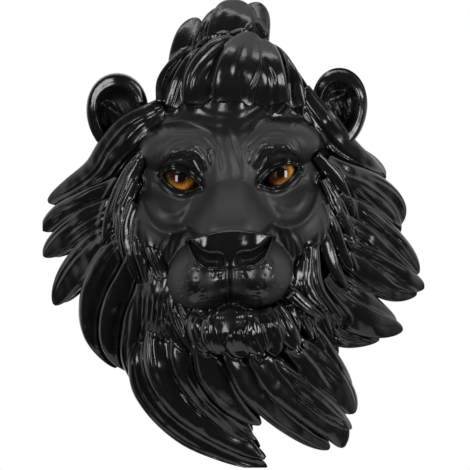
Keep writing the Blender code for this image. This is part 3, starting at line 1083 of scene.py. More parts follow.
@dataclass(frozen=True)
class Mouth:
    """The lips, the mouth line, the groove below the nose and the whisker pits."""

    height: float = -43.5
    sag: float = 4.5
    sag_span: Span = (0.0, 12.0)
    corner_rise: float = 3.5
    corner_span: Span = (18.0, 34.0)
    line: float = 3.4
    line_width: float = 1.2
    line_ends: Span = (37.0, 30.0)
    notch: float = 4.5
    notch_width: float = 9.0
    notch_rise: float = 2.6
    notch_height: float = 3.4
    lower_lip: float = 1.6
    lower_lip_drop: float = 3.0
    lower_lip_width: float = 1.6
    cleft: float = 2.4
    cleft_width: float = 0.9
    cleft_top: Span = (-14.0, -20.0)
    cleft_bottom: Span = (-44.5, -39.0)
    welt: float = 0.8
    welt_side: float = 3.4
    welt_width: float = 1.8
    welt_top: Span = (-20.0, -24.0)
    welt_bottom: Span = (-42.0, -34.0)
    pit_rows: int = 3
    pit_columns: int = 3
    pit_start: Span = (20.0, -21.5)
    pit_column_step: Span = (4.8, -0.8)
    pit_row_step: Span = (1.4, -5.0)
    pit_depth: float = 0.55
    pit_width: float = 0.7
    lips_top: Span = (-12.0, -20.0)
    lips_side: Span = (41.0, 33.0)
    shine_side: Span = (34.0, 22.0)
    least_shine: float = 0.3
    crinkle: float = 0.3
    crinkles: Noise = Noise(3.0, 7)
    crinkle_patches: Noise = Noise(15.0, 8)
    crinkle_edge: Span = (-0.2, 0.8)
    shine_patches: Noise = Noise(14.0, 4)
    dull: float = 0.5
    dull_height: float = -22.0
    dull_reach: Span = (12.0, 5.0)

    def _lips(self, side: np.ndarray, up: np.ndarray) -> np.ndarray:
        """Share of the lips at a place."""
        return smooth_step(*self.lips_top, up) * smooth_step(*self.lips_side, side)

    def _line_height(self, side: np.ndarray) -> np.ndarray:
        """Height of the mouth line: level, a little higher under the nose and at the ends."""
        sag = self.sag * smooth_step(*self.sag_span, side)
        return self.height - sag + self.corner_rise * smooth_step(*self.corner_span, side)

    def carve(self, across: np.ndarray, up: np.ndarray, depth: np.ndarray) -> np.ndarray:
        """Carve cleft, mouth line, lower lip and pits, all bells of a distance.

        Fine noise crinkles the lips in patches.

        Args:
            across: Distances from the face axis, signed.
            up: Heights.
            depth: Depths so far.

        Returns:
            The depths with the mouth.
        """
        side = np.abs(across)
        cleft = bell(side, self.cleft_width) * smooth_step(*self.cleft_top, up)
        depth = depth - self.cleft * (cleft * smooth_step(*self.cleft_bottom, up))
        welt = self.welt * bell(side - self.welt_side, self.welt_width)
        depth = depth + welt * smooth_step(*self.welt_top, up) * smooth_step(*self.welt_bottom, up)
        below = self._line_height(side) - up
        ends = smooth_step(*self.line_ends, side)
        depth = depth - self.line * bell(below, self.line_width) * ends
        notch = self.notch * bell(side, self.notch_width)
        depth = depth - notch * bell(below + self.notch_rise, self.notch_height)
        lip = bell(below - self.lower_lip_drop, self.lower_lip_width)
        depth = depth + self.lower_lip * lip * ends
        for row in range(self.pit_rows):
            for column in range(self.pit_columns):
                place = [
                    start + column * by_column + row * by_row
                    for start, by_column, by_row in zip(
                        self.pit_start, self.pit_column_step, self.pit_row_step
                    )
                ]
                pit = bell(side - place[0], self.pit_width) * bell(up - place[1], self.pit_width)
                depth = depth - self.pit_depth * pit
        patches = smooth_step(*self.crinkle_edge, self.crinkle_patches.at(side, up))
        crinkle = self.crinkles.at(side, up) * patches
        return depth + self.crinkle * self._lips(side, up) * crinkle

    def shine(self, across: np.ndarray, up: np.ndarray) -> np.ndarray:
        """Gloss of the lips: uneven, softer at the sides and below the nose.

        Args:
            across: Distances from the face axis, signed.
            up: Heights.

        Returns:
            The gloss.
        """
        side = np.abs(across)
        patch = 0.5 + 0.5 * self.shine_patches.at(across, up)
        patch = np.clip(self.least_shine + (1.0 - self.least_shine) * patch, 0.0, 1.0)
        shine = self._lips(side, up) * patch * smooth_step(*self.shine_side, side)
        dull = self.dull * bell(side, self.dull_reach[0])
        return shine * (1.0 - dull * bell(up - self.dull_height, self.dull_reach[1]))


@dataclass(frozen=True)
class Face:
    """The lion's face: one relief over the head's front, from named masses and features."""

    axis: float = -2.5
    roll: float = 0.045
    half_width: float = 66.0
    low: float = -84.0
    high: float = 97.0
    spacing: float = 0.52
    narrowing: float = 0.86
    edge_depth: float = 16.0
    rim_thickness: float = 4.0
    fall: float = 90.0
    blend: float = 5.0
    bridge_blend: float = 7.0
    crease: Span = (5.0, 2.0)
    melt_gloss: Span = (6.0, 1.0)
    number: int = 1
    eye: EyeShape = EyeShape()
    lids: Lids = Lids()
    sockets: Sockets = Sockets()
    brow: Brow = Brow()
    cheeks: Cheeks = Cheeks()
    nose: Nose = Nose()
    mouth: Mouth = Mouth()
    skull: Mound = Mound(0.0, 30.0, 72.0, 94.0, 18.0, 86.0)
    masses: tuple[Mound, ...] = (
        Mound(29.0, 56.0, 27.0, 17.0, 60.0, 86.0, 6.0),
        Mound(41.0, 6.0, 24.0, 27.0, 52.0, 81.0, 8.0),
        Mound(38.0, -38.0, 24.0, 34.0, 40.0, 77.0, 8.0),
    )
    muzzle: tuple[Mound, ...] = (
        Mound(17.5, -25.5, 21.5, 22.5, 74.0, 108.0, 8.0),
        Mound(0.0, -25.0, 14.0, 21.0, 74.0, 104.0, 4.0),
        Mound(0.0, -58.0, 29.0, 19.0, 66.0, 98.0, 6.0),
    )
    folds: tuple[Fold, ...] = (
        Fold(((28.0, 52.0), (22.5, 44.5), (18.0, 35.0)), 1.6, 2.4, 1.0),
        Fold(((24.5, 57.0), (19.0, 49.0), (14.8, 40.0)), 1.4, 2.4, 0.9),
        Fold(((26.5, 55.0), (21.3, 46.8), (17.0, 37.5)), -1.1, 1.0, 0.8),
        Fold(((12.5, 56.0), (13.5, 50.0), (12.0, 44.0)), 1.3, 1.2, 0.8),
        Fold(((-1.0, 64.0), (3.0, 52.0), (5.5, 42.0), (6.5, 34.0)), -1.7, 3.0, 0.0, False),
        Fold(((-8.0, 62.0), (-6.5, 50.0), (-5.0, 40.0)), -0.9, 1.8, 0.0, False),
        Fold(((21.0, 51.5), (27.0, 54.0), (35.0, 53.5), (44.0, 47.5)), 1.6, 2.2, 0.7),
        Fold(((22.5, 47.0), (30.0, 49.8), (38.0, 49.3), (46.0, 43.5)), -1.8, 1.7, 0.9),
        Fold(((26.0, -2.0), (24.5, 5.0), (19.5, 10.0)), 1.0, 1.6),
        Fold(((29.5, 3.0), (33.0, -8.0), (39.0, -18.0)), -0.9, 1.4),
        Fold(((35.0, 5.0), (41.0, -6.0), (46.0, -17.0)), 0.9, 1.6, 0.3),
        Fold(((39.0, 1.0), (45.0, -9.0), (50.0, -22.0)), -0.8, 1.3),
    )

    def rough_height(self, across: np.ndarray, up: np.ndarray) -> np.ndarray:
        """Height of the face over a grid in head coordinates, 0 outside it.

        Args:
            across: Places across.
            up: Places up.

        Returns:
            The heights.
        """
        local = across - self.axis
        height = self.relief(local, up - self.roll * local)[0]
        inside = (np.abs(local) < self.half_width) & (up > self.low) & (up < self.high)
        return np.where(inside, height, 0.0)

    def relief(self, across: np.ndarray, up: np.ndarray) -> tuple[np.ndarray, np.ndarray]:
        """Depth and gloss of the face: masses melted together, then each feature carved.

        The masses beside the axis read sqrt(a^2 + c^2) - d for the distance a, which rounds
        them over the axis, so that no crease is left there.

        Args:
            across: Distances from the face axis, signed.
            up: Heights.

        Returns:
            The depth in front of the wall, and the gloss from 0 to 1.
        """
        side = np.abs(across)
        gloss = np.zeros_like(side)
        round_side = np.hypot(across, self.crease[0]) - self.crease[1]
        depth = self.skull.depth(side, up, self.fall)
        for mass in self.masses:
            depth = soft_max(depth, mass.depth(round_side, up, self.fall), mass.blend)
        depth = soft_max(depth, self.nose.bridge(side, up, self.fall), self.bridge_blend)
        depth = self.sockets.carve(side, up, depth)
        depth, gloss = self.brow.carve(across, up, depth, gloss)
        depth, gloss = self.cheeks.carve(side, up, depth, gloss)
        for mass in self.muzzle:
            depth = soft_max(depth, mass.depth(side, up, self.fall), mass.blend)
        for fold in self.folds:
            share = fold.shape(across, up)
            depth = depth + fold.height * share
            gloss = np.maximum(gloss, fold.gloss * share)
        depth, gloss = self.lids.carve(self.eye, side, up, depth, gloss)
        pad = self.nose.pad_share(side, up)
        depth = self.mouth.carve(across, up, self.nose.carve(side, up, depth, pad))
        gloss = np.maximum(np.maximum(gloss, pad), self.mouth.shine(across, up))
        return depth, gloss * (1.0 - self.nose.nostril_share(side, up))

    def shells(self, relief: "ReliefMap") -> list[Shell]:
        """Work out the face as a closed relief on a grid, melted into the hair round it.

        Where the depths of face and hair differ by less than the blend width k, the depth
        rises by k h^2 / 4, with h = 1 - |difference| / k.

        Args:
            relief: Rough heights of every form of the head.

        Returns:
            One closed shell.
        """
        columns = int(2.0 * self.half_width / self.spacing)
        rows = int((self.high - self.low) / self.spacing)
        across, up = np.meshgrid(
            np.linspace(-self.half_width, self.half_width, columns),
            np.linspace(self.low, self.high, rows),
        )
        share = (up - 0.5 * (self.high + self.low)) / (0.5 * (self.high - self.low))
        across = across * np.sqrt(1.0 - self.narrowing * share ** 4)
        depth, gloss = self.relief(across, up)
        place = (self.axis + across, up + self.roll * across)
        others = relief.others(self.number, *place)
        near = np.maximum(1.0 - np.abs(depth - others) / self.blend, 0.0)
        depth = np.maximum(depth + 0.25 * self.blend * near ** 2, self.edge_depth)
        gloss = np.maximum(gloss, smooth_step(*self.melt_gloss, depth - others))
        front = np.stack([*place, depth], axis=-1)
        foot = (0.0, 0.0, self.edge_depth - self.rim_thickness)
        back = front[:, [-1, -2, 1, 0]] * (1.0, 1.0, 0.0) + foot
        grid = np.concatenate([front, back], axis=1)
        uv = np.zeros((rows, grid.shape[1] + 1, 2))
        uv[:, :columns, 0] = across
        uv[:, :columns, 1] = up
        dull_back = np.zeros((rows, back.shape[1]))
        return [tube_shell(grid, uv, np.concatenate([gloss, dull_back], axis=1))]


@dataclass(frozen=True)
class LockLook:
    """How a lock is carved and how its profile runs.

    The sharpness is the power that keeps the lock full towards its tip, the root is a share of
    the greatest width, blend is the difference in depth over which it melts into others, a
    low roundness makes a flat top with rolled edges, and lean is the greatest slant of the top.
    """

    grooves: int
    groove_depth: float
    lumps: float
    sharpness: float
    root: float
    blend: float
    roundness: float
    lean: float
    gloss: float = 1.0


class LockStyle(Enum):
    """The looks of the locks of the crest, the mane, the strands and the chin."""

    CREST = LockLook(2, 0.6, 0.3, 6.0, 0.95, 7.0, 0.2, 0.12, 0.85)
    MANE = LockLook(4, 1.0, 0.8, 3.6, 0.62, 8.0, 0.5, 0.55, 0.9)
    STRAND = LockLook(4, 0.7, 0.3, 3.0, 0.62, 5.0, 0.8, 0.55, 0.9)
    CHIN = LockLook(4, 0.8, 0.7, 7.0, 0.8, 13.0, 0.9, 0.3)


@dataclass(frozen=True)
class Grooves:
    """Ranges that the grooves of a lock are drawn from, as shares of its girth and length."""

    seed: int = 1000
    middle: Span = (0.15, 0.85)
    drift: Span = (-0.16, 0.16)
    sway: float = 0.03
    sway_rate: Span = (4.0, 9.0)
    sway_phase: Span = (0.0, 6.0)
    width: Span = (0.022, 0.05)
    start: Span = (-0.2, 0.45)
    length: Span = (0.4, 0.9)
    fade_in: float = 0.15
    fade_out: float = 0.2
    bank: float = 0.45
    bank_gap: float = 2.2

    def cut(self, number: int, count: int, place: np.ndarray, share: np.ndarray) -> np.ndarray:
        """Draw long grooves, each a bell across the lock that drifts, sways and fades.

        Args:
            number: Number of the lock.
            count: Number of its grooves.
            place: Places round the lock's top, from 0 to 1.
            share: Shares of the length.

        Returns:
            The cut, -1 at the bottom of a groove and slightly positive on its banks.
        """
        chance = np.random.default_rng(self.seed + number)
        cut = np.zeros(np.broadcast_shapes(place.shape, share.shape))
        for _ in range(count):
            middle = chance.uniform(*self.middle) + chance.uniform(*self.drift) * (share - 0.5)
            wave = chance.uniform(*self.sway_rate) * share + chance.uniform(*self.sway_phase)
            middle = middle + self.sway * np.sin(wave)
            narrow = chance.uniform(*self.width)
            start = chance.uniform(*self.start)
            stop = start + chance.uniform(*self.length)
            fade = smooth_step(start, start + self.fade_in, share)
            fade = fade * smooth_step(stop, stop - self.fade_out, share)
            gap = (place - middle) / narrow
            bank = self.bank * bell(np.abs(gap) - self.bank_gap, 1.0)
            cut = cut + fade * (bank - bell(gap, 1.0))
        return cut


@dataclass(frozen=True)
class Lock:
    """One lock of hair: its route from root to tip, its greatest width and how it is carved."""

    route: Route
    width: float
    style: LockStyle
    number: int
    underside: float = 0.35
    spacing: float = 0.88
    row_step: float = 1.2
    side_step: float = 0.8
    least_count: int = 8
    under_count: int = 9
    crowding: float = 1.4
    root_length: float = 0.35
    tip_fall: float = 0.985
    tip_power: float = 0.6
    most_thickness: float = 2.4
    tip_thickness: float = 0.3
    rough_count: int = 28
    rough_crowding: float = 1.5
    side_fall: float = 3.0
    lean_seed: int = 2000
    lean_loss: float = 0.4
    lump_height: float = 0.8
    small_share: float = 0.2
    broad_lumps: Noise = Noise(19.0, 31)
    small_lumps: Noise = Noise(7.5, 32)
    back_gap: float = 0.3
    back_step: float = 0.015
    flow_step: float = 40.0
    flow_places: int = 50
    grooves: Grooves = Grooves()

    def _sections(self, share: np.ndarray) -> tuple[np.ndarray, ...]:
        """Work out the lock's sections: a slimmer root, a full middle and a pointed tip.

        Args:
            share: Shares of the length.

        Returns:
            Route, half width, thickness and crown height.
        """
        route = smooth_curve(np.array(self.route, float), share)
        look = self.style.value
        root = look.root + (1.0 - look.root) * smooth_step(0.0, self.root_length, share)
        tip = (1.0 - self.tip_fall * share ** look.sharpness) ** self.tip_power
        half = 0.5 * self.width * root * tip
        most = self.most_thickness * self.width
        thickness = np.minimum((1.0 - self.underside) * route[:, 2], most)
        thickness = thickness * (self.tip_thickness + (1.0 - self.tip_thickness) * tip)
        return route, half, thickness, np.minimum(half, 0.5 * thickness)

    def reach(self) -> tuple[float, float, float, float]:
        """Work out what the lock covers.

        Returns:
            Least and greatest place across, and least and greatest place up.
        """
        points = np.array(self.route, float)
        (low_x, low_z), (high_x, high_z) = points[:, :2].min(axis=0), points[:, :2].max(axis=0)
        return low_x - self.width, high_x + self.width, low_z - self.width, high_z + self.width

    def rough_height(self, across: np.ndarray, up: np.ndarray) -> np.ndarray:
        """Height of the uncarved lock over a grid: lift + crown sqrt(1 - (s / half)^2).

        Args:
            across: Places across.
            up: Places up.

        Returns:
            The heights, which fall away steeply beside the lock.
        """
        share = 1.0 - np.linspace(1.0, 0.0, self.rough_count) ** self.rough_crowding
        route, half, _, crown = self._sections(share)
        gap, along = path_distance(across, up, tuple(map(tuple, route[:, :2])))
        place = along * (len(share) - 1.0)
        steps = np.arange(len(share))
        width = np.interp(place, steps, half)
        rise = np.interp(place, steps, crown)
        lift = np.interp(place, steps, route[:, 2]) - rise
        inside = rise * np.sqrt(np.maximum(1.0 - (gap / width) ** 2, 0.0))
        return lift + inside - self.side_fall * np.maximum(gap - width, 0.0)

    def _angles(self) -> np.ndarray:
        """Place the points round a section: close over the top, few below.

        Returns:
            Their angles, from one edge over the top to the other, and back below.
        """
        over = math.pi * 0.5 * self.width / (self.side_step * self.spacing)
        top = np.linspace(0.0, math.pi, int(over) + self.least_count)
        under = np.linspace(math.pi, 2.0 * math.pi, self.under_count)[1:-1]
        return np.concatenate([top, under])

    def _profile(self, angle: np.ndarray, thickness: np.ndarray, crown: np.ndarray) -> np.ndarray:
        """Height of the section's edge over its level line.

        The top is c sin(a)^f (1 + l cos(a)) / (1 + 0.4 |l|) over the angle a: a flat oval
        that leans to one side by l. The underside is half an ellipse.

        Args:
            angle: Angles round the section.
            thickness: Thickness of each section.
            crown: Height of the crown of each section.

        Returns:
            The heights, sections by angles.
        """
        cos, sin = np.cos(angle)[None, :], np.sin(angle)[None, :]
        look = self.style.value
        lean = np.random.default_rng(self.lean_seed + self.number).uniform(-look.lean, look.lean)
        bevel = np.maximum(sin, 0.0) ** look.roundness
        bevel = bevel * (1.0 + lean * cos) / (1.0 + self.lean_loss * abs(lean))
        return np.where(sin > 0.0, crown[:, None] * bevel, (thickness - crown)[:, None] * sin)

    def shell(self, relief: "ReliefMap") -> Shell:
        """Carry the section along the route, carve it, and melt it into its neighbours.

        Where the lock's depth a and that of the other forms b differ by less than the blend
        width k, the depth rises by k h^2 / 4, with h = 1 - |a - b| / k.

        Args:
            relief: Rough heights of every form of the head.

        Returns:
            The closed shell.
        """
        look = self.style.value
        length = np.linalg.norm(np.diff(np.array(self.route, float), axis=0), axis=1).sum()
        rows = int(length / (self.row_step * self.spacing)) + self.least_count
        share = 1.0 - np.linspace(1.0, 0.0, rows) ** self.crowding
        route, half, thickness, crown = self._sections(share)
        ahead = np.gradient(route[:, :2], axis=0)
        ahead /= np.linalg.norm(ahead, axis=1)[:, None]
        angle = self._angles()
        side = half[:, None] * np.cos(angle)[None, :]
        across = route[:, :1] - side * ahead[:, 1:]
        up = route[:, 1:2] + side * ahead[:, :1]
        depth = (route[:, 2] - crown)[:, None] + self._profile(angle, thickness, crown)
        on_top = np.sqrt(np.maximum(np.sin(angle)[None, :], 0.0))
        slim = (half / half.max())[:, None]
        cut = self.grooves.cut(self.number, look.grooves, angle[None, :] / math.pi, share[:, None])
        depth = depth + on_top * slim * (look.groove_depth * cut)
        lumps = self.broad_lumps.at(across, up) + self.small_share * self.small_lumps.at(across, up)
        depth = depth + self.lump_height * look.lumps * on_top * slim * lumps
        others = relief.others(self.number, across, up)
        near = np.maximum(1.0 - np.abs(depth - others) / look.blend, 0.0)
        depth = depth + on_top ** 0.5 * 0.25 * look.blend * near ** 2
        depth = np.maximum(depth, self.back_gap + self.back_step * (self.number - FIRST_LOCK))
        grid = np.stack([across, up, depth], axis=-1)
        ring = np.concatenate([angle, [2.0 * math.pi]]) / math.pi
        ring = ring[None, :] * self.width + self.flow_step * (self.number % self.flow_places)
        run = np.concatenate([[0.0], np.cumsum(np.linalg.norm(np.diff(route, axis=0), axis=1))])
        uv = np.stack(np.broadcast_arrays(ring, run[:, None]), axis=-1)
        return tube_shell(grid, uv, np.full(grid.shape[:2], look.gloss))


class ReliefMap:
    """Rough heights of the head's forms over one grid: the highest, the next and its owner."""

    def __init__(
        self, spacing: float = 0.8, half_across: float = 128.0, half_up: float = 154.0
    ) -> None:
        """Lay out an empty grid over the head's front.

        Args:
            spacing: Distance between its points.
            half_across: Half its width.
            half_up: Half its height.
        """
        self.spacing = spacing
        self.whole = (-half_across, half_across, -half_up, half_up)
        self.across = np.arange(-half_across, half_across, spacing)
        self.up = np.arange(-half_up, half_up, spacing)
        shape = (len(self.up), len(self.across))
        self.first = np.zeros(shape)
        self.second = np.zeros(shape)
        self.owner = np.full(shape, -1)

    def add(self, number: int, form: "Lock | Face | HairDome", reach: tuple | None = None) -> None:
        """Enter a form's rough heights.

        Args:
            number: Number of the form.
            form: The form.
            reach: Least and greatest place across and up that it covers; all when left out.
        """
        low_x, high_x, low_z, high_z = reach or self.whole
        columns = slice(*np.searchsorted(self.across, (low_x, high_x)))
        rows = slice(*np.searchsorted(self.up, (low_z, high_z)))
        height = form.rough_height(*np.meshgrid(self.across[columns], self.up[rows]))
        first, second = self.first[rows, columns], self.second[rows, columns]
        higher = height > first
        self.second[rows, columns] = np.where(higher, first, np.maximum(second, height))
        self.owner[rows, columns] = np.where(higher, number, self.owner[rows, columns])
        self.first[rows, columns] = np.where(higher, height, first)

    def _steps(self, value: np.ndarray, line: np.ndarray) -> tuple[np.ndarray, np.ndarray]:
        """Find the grid point before each value, never the last one of the line.

        Args:
            value: Places across or up.
            line: The grid's places in that direction.

        Returns:
            The number of the grid point, and the share of the step beyond it.
        """
        last_step = len(line) - 1.001
        place = np.clip((value - line[0]) / self.spacing, 0.0, last_step)
        whole = place.astype(int)
        return whole, place - whole

    def others(self, number: int, across: np.ndarray, up: np.ndarray) -> np.ndarray:
        """Read the height of all forms but one, evened out between four grid points.

        Args:
            number: The form that asks, which is left out.
            across: Places across.
            up: Places up.

        Returns:
            The heights.
        """
        height = np.where(self.owner == number, self.second, self.first)
        column, right = self._steps(across, self.across)
        row, above = self._steps(up, self.up)
        low = height[row, column] * (1.0 - right) + height[row, column + 1] * right
        high = height[row + 1, column] * (1.0 - right) + height[row + 1, column + 1] * right
        return low * (1.0 - above) + high * above


@dataclass
class Hair:
    """The crest, the mane, the beard, the chin tuft and the strands, as groups of locks.

    Each lock is a route of points (across, up, depth) from root to tip, and a greatest width.
    """

    groups: dict[str, tuple[tuple[Route, float], ...]] = field(default_factory=lambda: {
        "crest": (
            (((-9, 100, 58), (-4, 122, 52), (1, 138, 44), (5, 149, 32)), 31),
            (((8, 100, 56), (10, 120, 50), (12, 134, 42), (16, 148, 30)), 24),
            (((-21, 95, 60), (-19, 114, 54), (-13, 131, 46), (-5, 145, 32)), 19),
            (((-31, 86, 58), (-32, 107, 52), (-29, 123, 46), (-23, 138, 34)), 20),
            (((-44, 84, 64), (-43, 97, 60), (-35, 109, 54), (-28, 119, 44)), 12),
            (((-38, 80, 66), (-33, 95, 68), (-26, 108, 62), (-18, 118, 54)), 14),
            (((-20, 82, 73), (-18, 97, 78), (-9, 111, 72), (4, 123, 60)), 28),
            (((-1, 82, 78), (1, 97, 84), (6, 112, 78), (12, 128, 60)), 29),
            (((24, 82, 73), (21, 96, 79), (18, 110, 74), (16, 124, 60)), 25),
            (((38, 80, 64), (35, 95, 66), (29, 107, 58), (21, 121, 46)), 17),
            (((47, 83, 60), (40, 94, 56), (33, 104, 50), (25, 112, 42)), 12),
        ),
        "mane_left": (
            (((-44, 80, 62), (-62, 69, 64), (-75, 54, 54),
              (-86, 39, 44), (-103, 28, 30), (-119, 21, 14)), 25),
            (((-73, 53, 48), (-86, 41, 38), (-97, 35, 28), (-106, 29, 15)), 14),
            (((-72, 32, 58), (-91, 20, 44), (-109, 12, 30), (-123, 3, 12)), 20),
            (((-74, 20, 58), (-93, 8, 44), (-110, -4, 28), (-122, -14, 10)), 19),
            (((-72, 4, 60), (-88, -10, 48), (-103, -26, 32), (-115, -45, 13)), 23),
            (((-66, -2, 64), (-77, -19, 54), (-86.5, -40, 42), (-87, -62, 30), (-75, -85, 13)), 25),
            (((-62, -14, 68), (-70, -36, 58), (-76, -54, 48), (-76, -71, 38), (-67, -87, 20)), 21),
            (((-56, -32, 68), (-61, -56, 58), (-64, -76, 46), (-61, -96, 26)), 20),
        ),
        "beard": (
            (((-58, -49, 50), (-57, -82, 52), (-49, -103, 43),
              (-30, -123, 33), (-5, -137, 22), (21, -149, 10)), 25),
            (((-47, -44, 58), (-46, -77, 64), (-34, -102, 53), (-13, -121, 39), (17, -142, 20)), 26),
            (((-36, -53, 64), (-31, -80, 70), (-18, -101, 57), (-1, -119, 40), (12, -131, 22)), 20),
            (((-22, -64, 83), (-14, -87, 76), (-1, -105, 60), (17, -121, 36)), 20),
            (((-4, -68, 88), (9, -90, 76), (25, -108, 58), (44, -124, 36), (61, -137, 16)), 23),
            (((10, -68, 86), (26, -89, 73), (45, -106, 56), (63, -122, 37), (70, -136, 18)), 25),
            (((34, -66, 76), (54, -86, 60), (67, -101, 45), (77, -114, 20)), 24),
            (((36, -44, 74), (47, -67, 62), (60, -83, 50), (76, -104, 24)), 19),
            (((44, -52, 70), (55, -71, 60), (66, -87, 48), (75, -100, 28)), 14),
            (((24, -80, 74), (42, -97, 61), (60, -112, 45), (75, -124, 22)), 15),
        ),
        "mane_right": (
            (((42, 91, 62), (55, 72, 64), (69, 54, 52), (85, 41, 38), (97, 36, 20)), 22),
            (((62, 63, 54), (75, 51, 44), (87, 44, 32), (97, 38, 16)), 15),
            (((58, 45, 68), (74, 35, 56), (91, 27, 40), (102, 17, 26), (105, 5, 12)), 21),
            (((63, 36, 64), (80, 25, 50), (95, 13, 34), (106, 1, 14)), 21),
            (((64, 22, 64), (84, 6, 46), (103, -11, 30), (118, -25, 12)), 25),
            (((64, 12, 64), (84, -4, 46), (101, -18, 30), (116, -28, 12)), 18),
            (((66, -3, 60), (90, -19, 40), (109, -29, 24), (122, -34, 9)), 18),
            (((66, -12, 60), (85, -26, 42), (100, -35, 28), (117, -38, 12)), 18),
            (((60, -25, 62), (77, -39, 44), (91, -50, 28), (104, -57, 12)), 18),
            (((55, -30, 66), (68, -46, 48), (87, -56, 32), (108, -61, 11)), 23),
            (((50, -34, 68), (60, -53, 50), (69, -64, 34), (93, -67, 11)), 19),
            (((44, -32, 70), (51, -49, 58), (58, -64, 42), (66, -77, 20)), 15),
        ),
        "strands": (
            (((-52, 57, 72), (-66, 38, 68), (-77, 16, 60), (-83, -5, 52)), 11),
            (((-60, 46, 70), (-67, 30, 68), (-73, 13, 64), (-73, -6, 58)), 10),
            (((-62, 33, 70), (-69, 16, 68), (-71, -1, 66), (-68, -19, 60)), 10),
            (((-63, 20, 71), (-67, 3, 71), (-65, -13, 69), (-60, -28, 64)), 9),
            (((-60, 8, 73), (-60, -7, 75), (-57, -20, 73), (-53, -37, 69)), 9),
            (((-56, 4, 74), (-52, -10, 79), (-46, -22, 79), (-42, -33, 76), (-40, -50, 72)), 9),
            (((-55, -18, 72), (-49, -35, 74), (-44, -49, 73), (-36, -65, 72), (-28, -77, 67)), 10),
            (((-43, -32, 76), (-35, -54, 78), (-28, -67, 78), (-23, -78, 72)), 10),
            (((-34, -43, 80), (-27, -58, 83), (-23, -73, 78)), 8),
            (((52, 50, 72), (64, 36, 67), (71, 22, 60), (76, 11, 54)), 10),
            (((57, 35, 70), (65, 19, 66), (71, 7, 60), (77, -6, 54)), 10),
            (((57, 19, 71), (63, 3, 68), (68, -10, 62), (75, -21, 55)), 10),
            (((54, 9, 73), (58, -7, 70), (63, -20, 66), (72, -34, 58)), 10),
            (((51, 0, 75), (50, -18, 74), (54, -36, 70), (68, -53, 57)), 10),
            (((47, -7, 77), (45, -26, 76), (49, -39, 74), (60, -50, 67)), 10),
            (((43, -16, 78), (40, -32, 78), (42, -48, 74), (50, -66, 67)), 11),
            (((30, -30, 74), (36, -37, 84), (45, -45, 81), (57, -53, 73)), 9),
            (((35, -44, 80), (37, -61, 76), (31, -75, 71)), 11),
        ),
        "chin": (
            (((-20, -46, 86), (-22, -59, 92), (-17, -74, 85)), 15),
            (((-10, -48, 91), (-13, -61, 97), (-8, -75, 90)), 17),
            (((-3, -50, 92), (0, -63, 98), (7, -77, 90)), 17),
            (((8, -48, 91), (11, -62, 97), (17, -75, 90)), 17),
            (((18, -47, 89), (22, -60, 94), (27, -76, 84)), 15),
            (((26, -45, 84), (32, -58, 88), (40, -72, 80)), 13),
        ),
    })
    first_number: int = FIRST_LOCK
    layered: tuple[str, ...] = ("crest", "mane_left", "beard", "mane_right")
    lower_scale: float = 0.96
    lower_depth: float = 0.5
    lower_underside: float = -0.3
    lower_spacing: float = 1.4

    def _lower(self, route: Route) -> Route:
        """Route of the lock that lies behind another one, nearer to the wall."""
        place, depth = self.lower_scale, self.lower_depth
        return tuple((place * x, place * z, depth * d) for x, z, d in route)

    def locks(self) -> dict[str, list[Lock]]:
        """Give every lock of each group its style and a number of its own.

        Returns:
            The locks of each group, and of a lower layer for the layered groups.
        """
        rows_of = dict(self.groups)
        for name in self.layered:
            rows_of[name + "_lower"] = tuple((self._lower(r), w) for r, w in self.groups[name])
        styles = {
            "crest": LockStyle.CREST, "strands": LockStyle.STRAND, "chin": LockStyle.CHIN,
        }
        number = self.first_number
        made: dict[str, list[Lock]] = {}
        for name, rows in rows_of.items():
            style = styles.get(name.removesuffix("_lower"), LockStyle.MANE)
            extra = (Lock.underside, Lock.spacing)
            if name.endswith("_lower"):
                extra = (self.lower_underside, self.lower_spacing)
            made[name] = [
                Lock(route, width, style, number + index, *extra)
                for index, (route, width) in enumerate(rows)
            ]
            number += len(rows)
        return made


@dataclass(frozen=True)
class HairDome:
    """The dome behind the locks: it carries them and has the flat back that meets the wall."""

    up: float = -5.0
    half_width: float = 80.0
    half_height: float = 104.0
    depth: float = 58.0
    fullness: float = 0.85
    ring_count: int = 60
    side_count: int = 240
    first_ring: float = 0.02
    furrows: int = 58
    furrow_height: float = 0.6
    furrow_sway: float = 5.0
    back_rings: tuple[float, ...] = (0.99, 0.98, 0.5)
    flow_size: Span = (300.0, 90.0)
    number: int = 2

    def rough_height(self, across: np.ndarray, up: np.ndarray) -> np.ndarray:
        """Height of the dome over a grid: d (1 - r^2)^(f / 2)."""
        reach = (across / self.half_width) ** 2 + ((up - self.up) / self.half_height) ** 2
        return self.depth * np.maximum(1.0 - reach, 0.0) ** (0.5 * self.fullness)

    def shells(self) -> list[Shell]:
        """Work out the dome on rings: depth is d (1 - r^2)^(f / 2), with radial furrows.

        Returns:
            One closed shell, flat at the wall.
        """
        ring = np.sin(np.linspace(self.first_ring, 0.5 * math.pi, self.ring_count))[:, None]
        turn = np.linspace(0.0, 2.0 * math.pi, self.side_count, endpoint=False)[None, :]
        rise = np.maximum(1.0 - ring ** 2, 0.0) ** (0.5 * self.fullness)
        furrow = np.sin(self.furrows * turn + self.furrow_sway * ring) * ring * rise
        across = self.half_width * ring * np.cos(turn)
        up = self.up + self.half_height * ring * np.sin(turn)
        depth = self.depth * rise + self.furrow_height * furrow
        grid = np.stack([across, up, depth], axis=-1)
        grid[-1, :, 2] = 0.0
        middle = np.array((0.0, self.up, 0.0))
        back = [middle + (grid[-1:] - middle) * share for share in self.back_rings]
        grid = np.concatenate([grid, *back])
        uv = np.zeros((len(grid), self.side_count + 1, 2))
        uv[:, :, 0] = np.linspace(0.0, self.flow_size[0], self.side_count + 1)[None, :]
        uv[:self.ring_count, :, 1] = self.flow_size[1] * ring
        gloss = np.ones(grid.shape[:2])
        gloss[self.ring_count:] = 0.0
        return [tube_shell(grid, uv, gloss)]


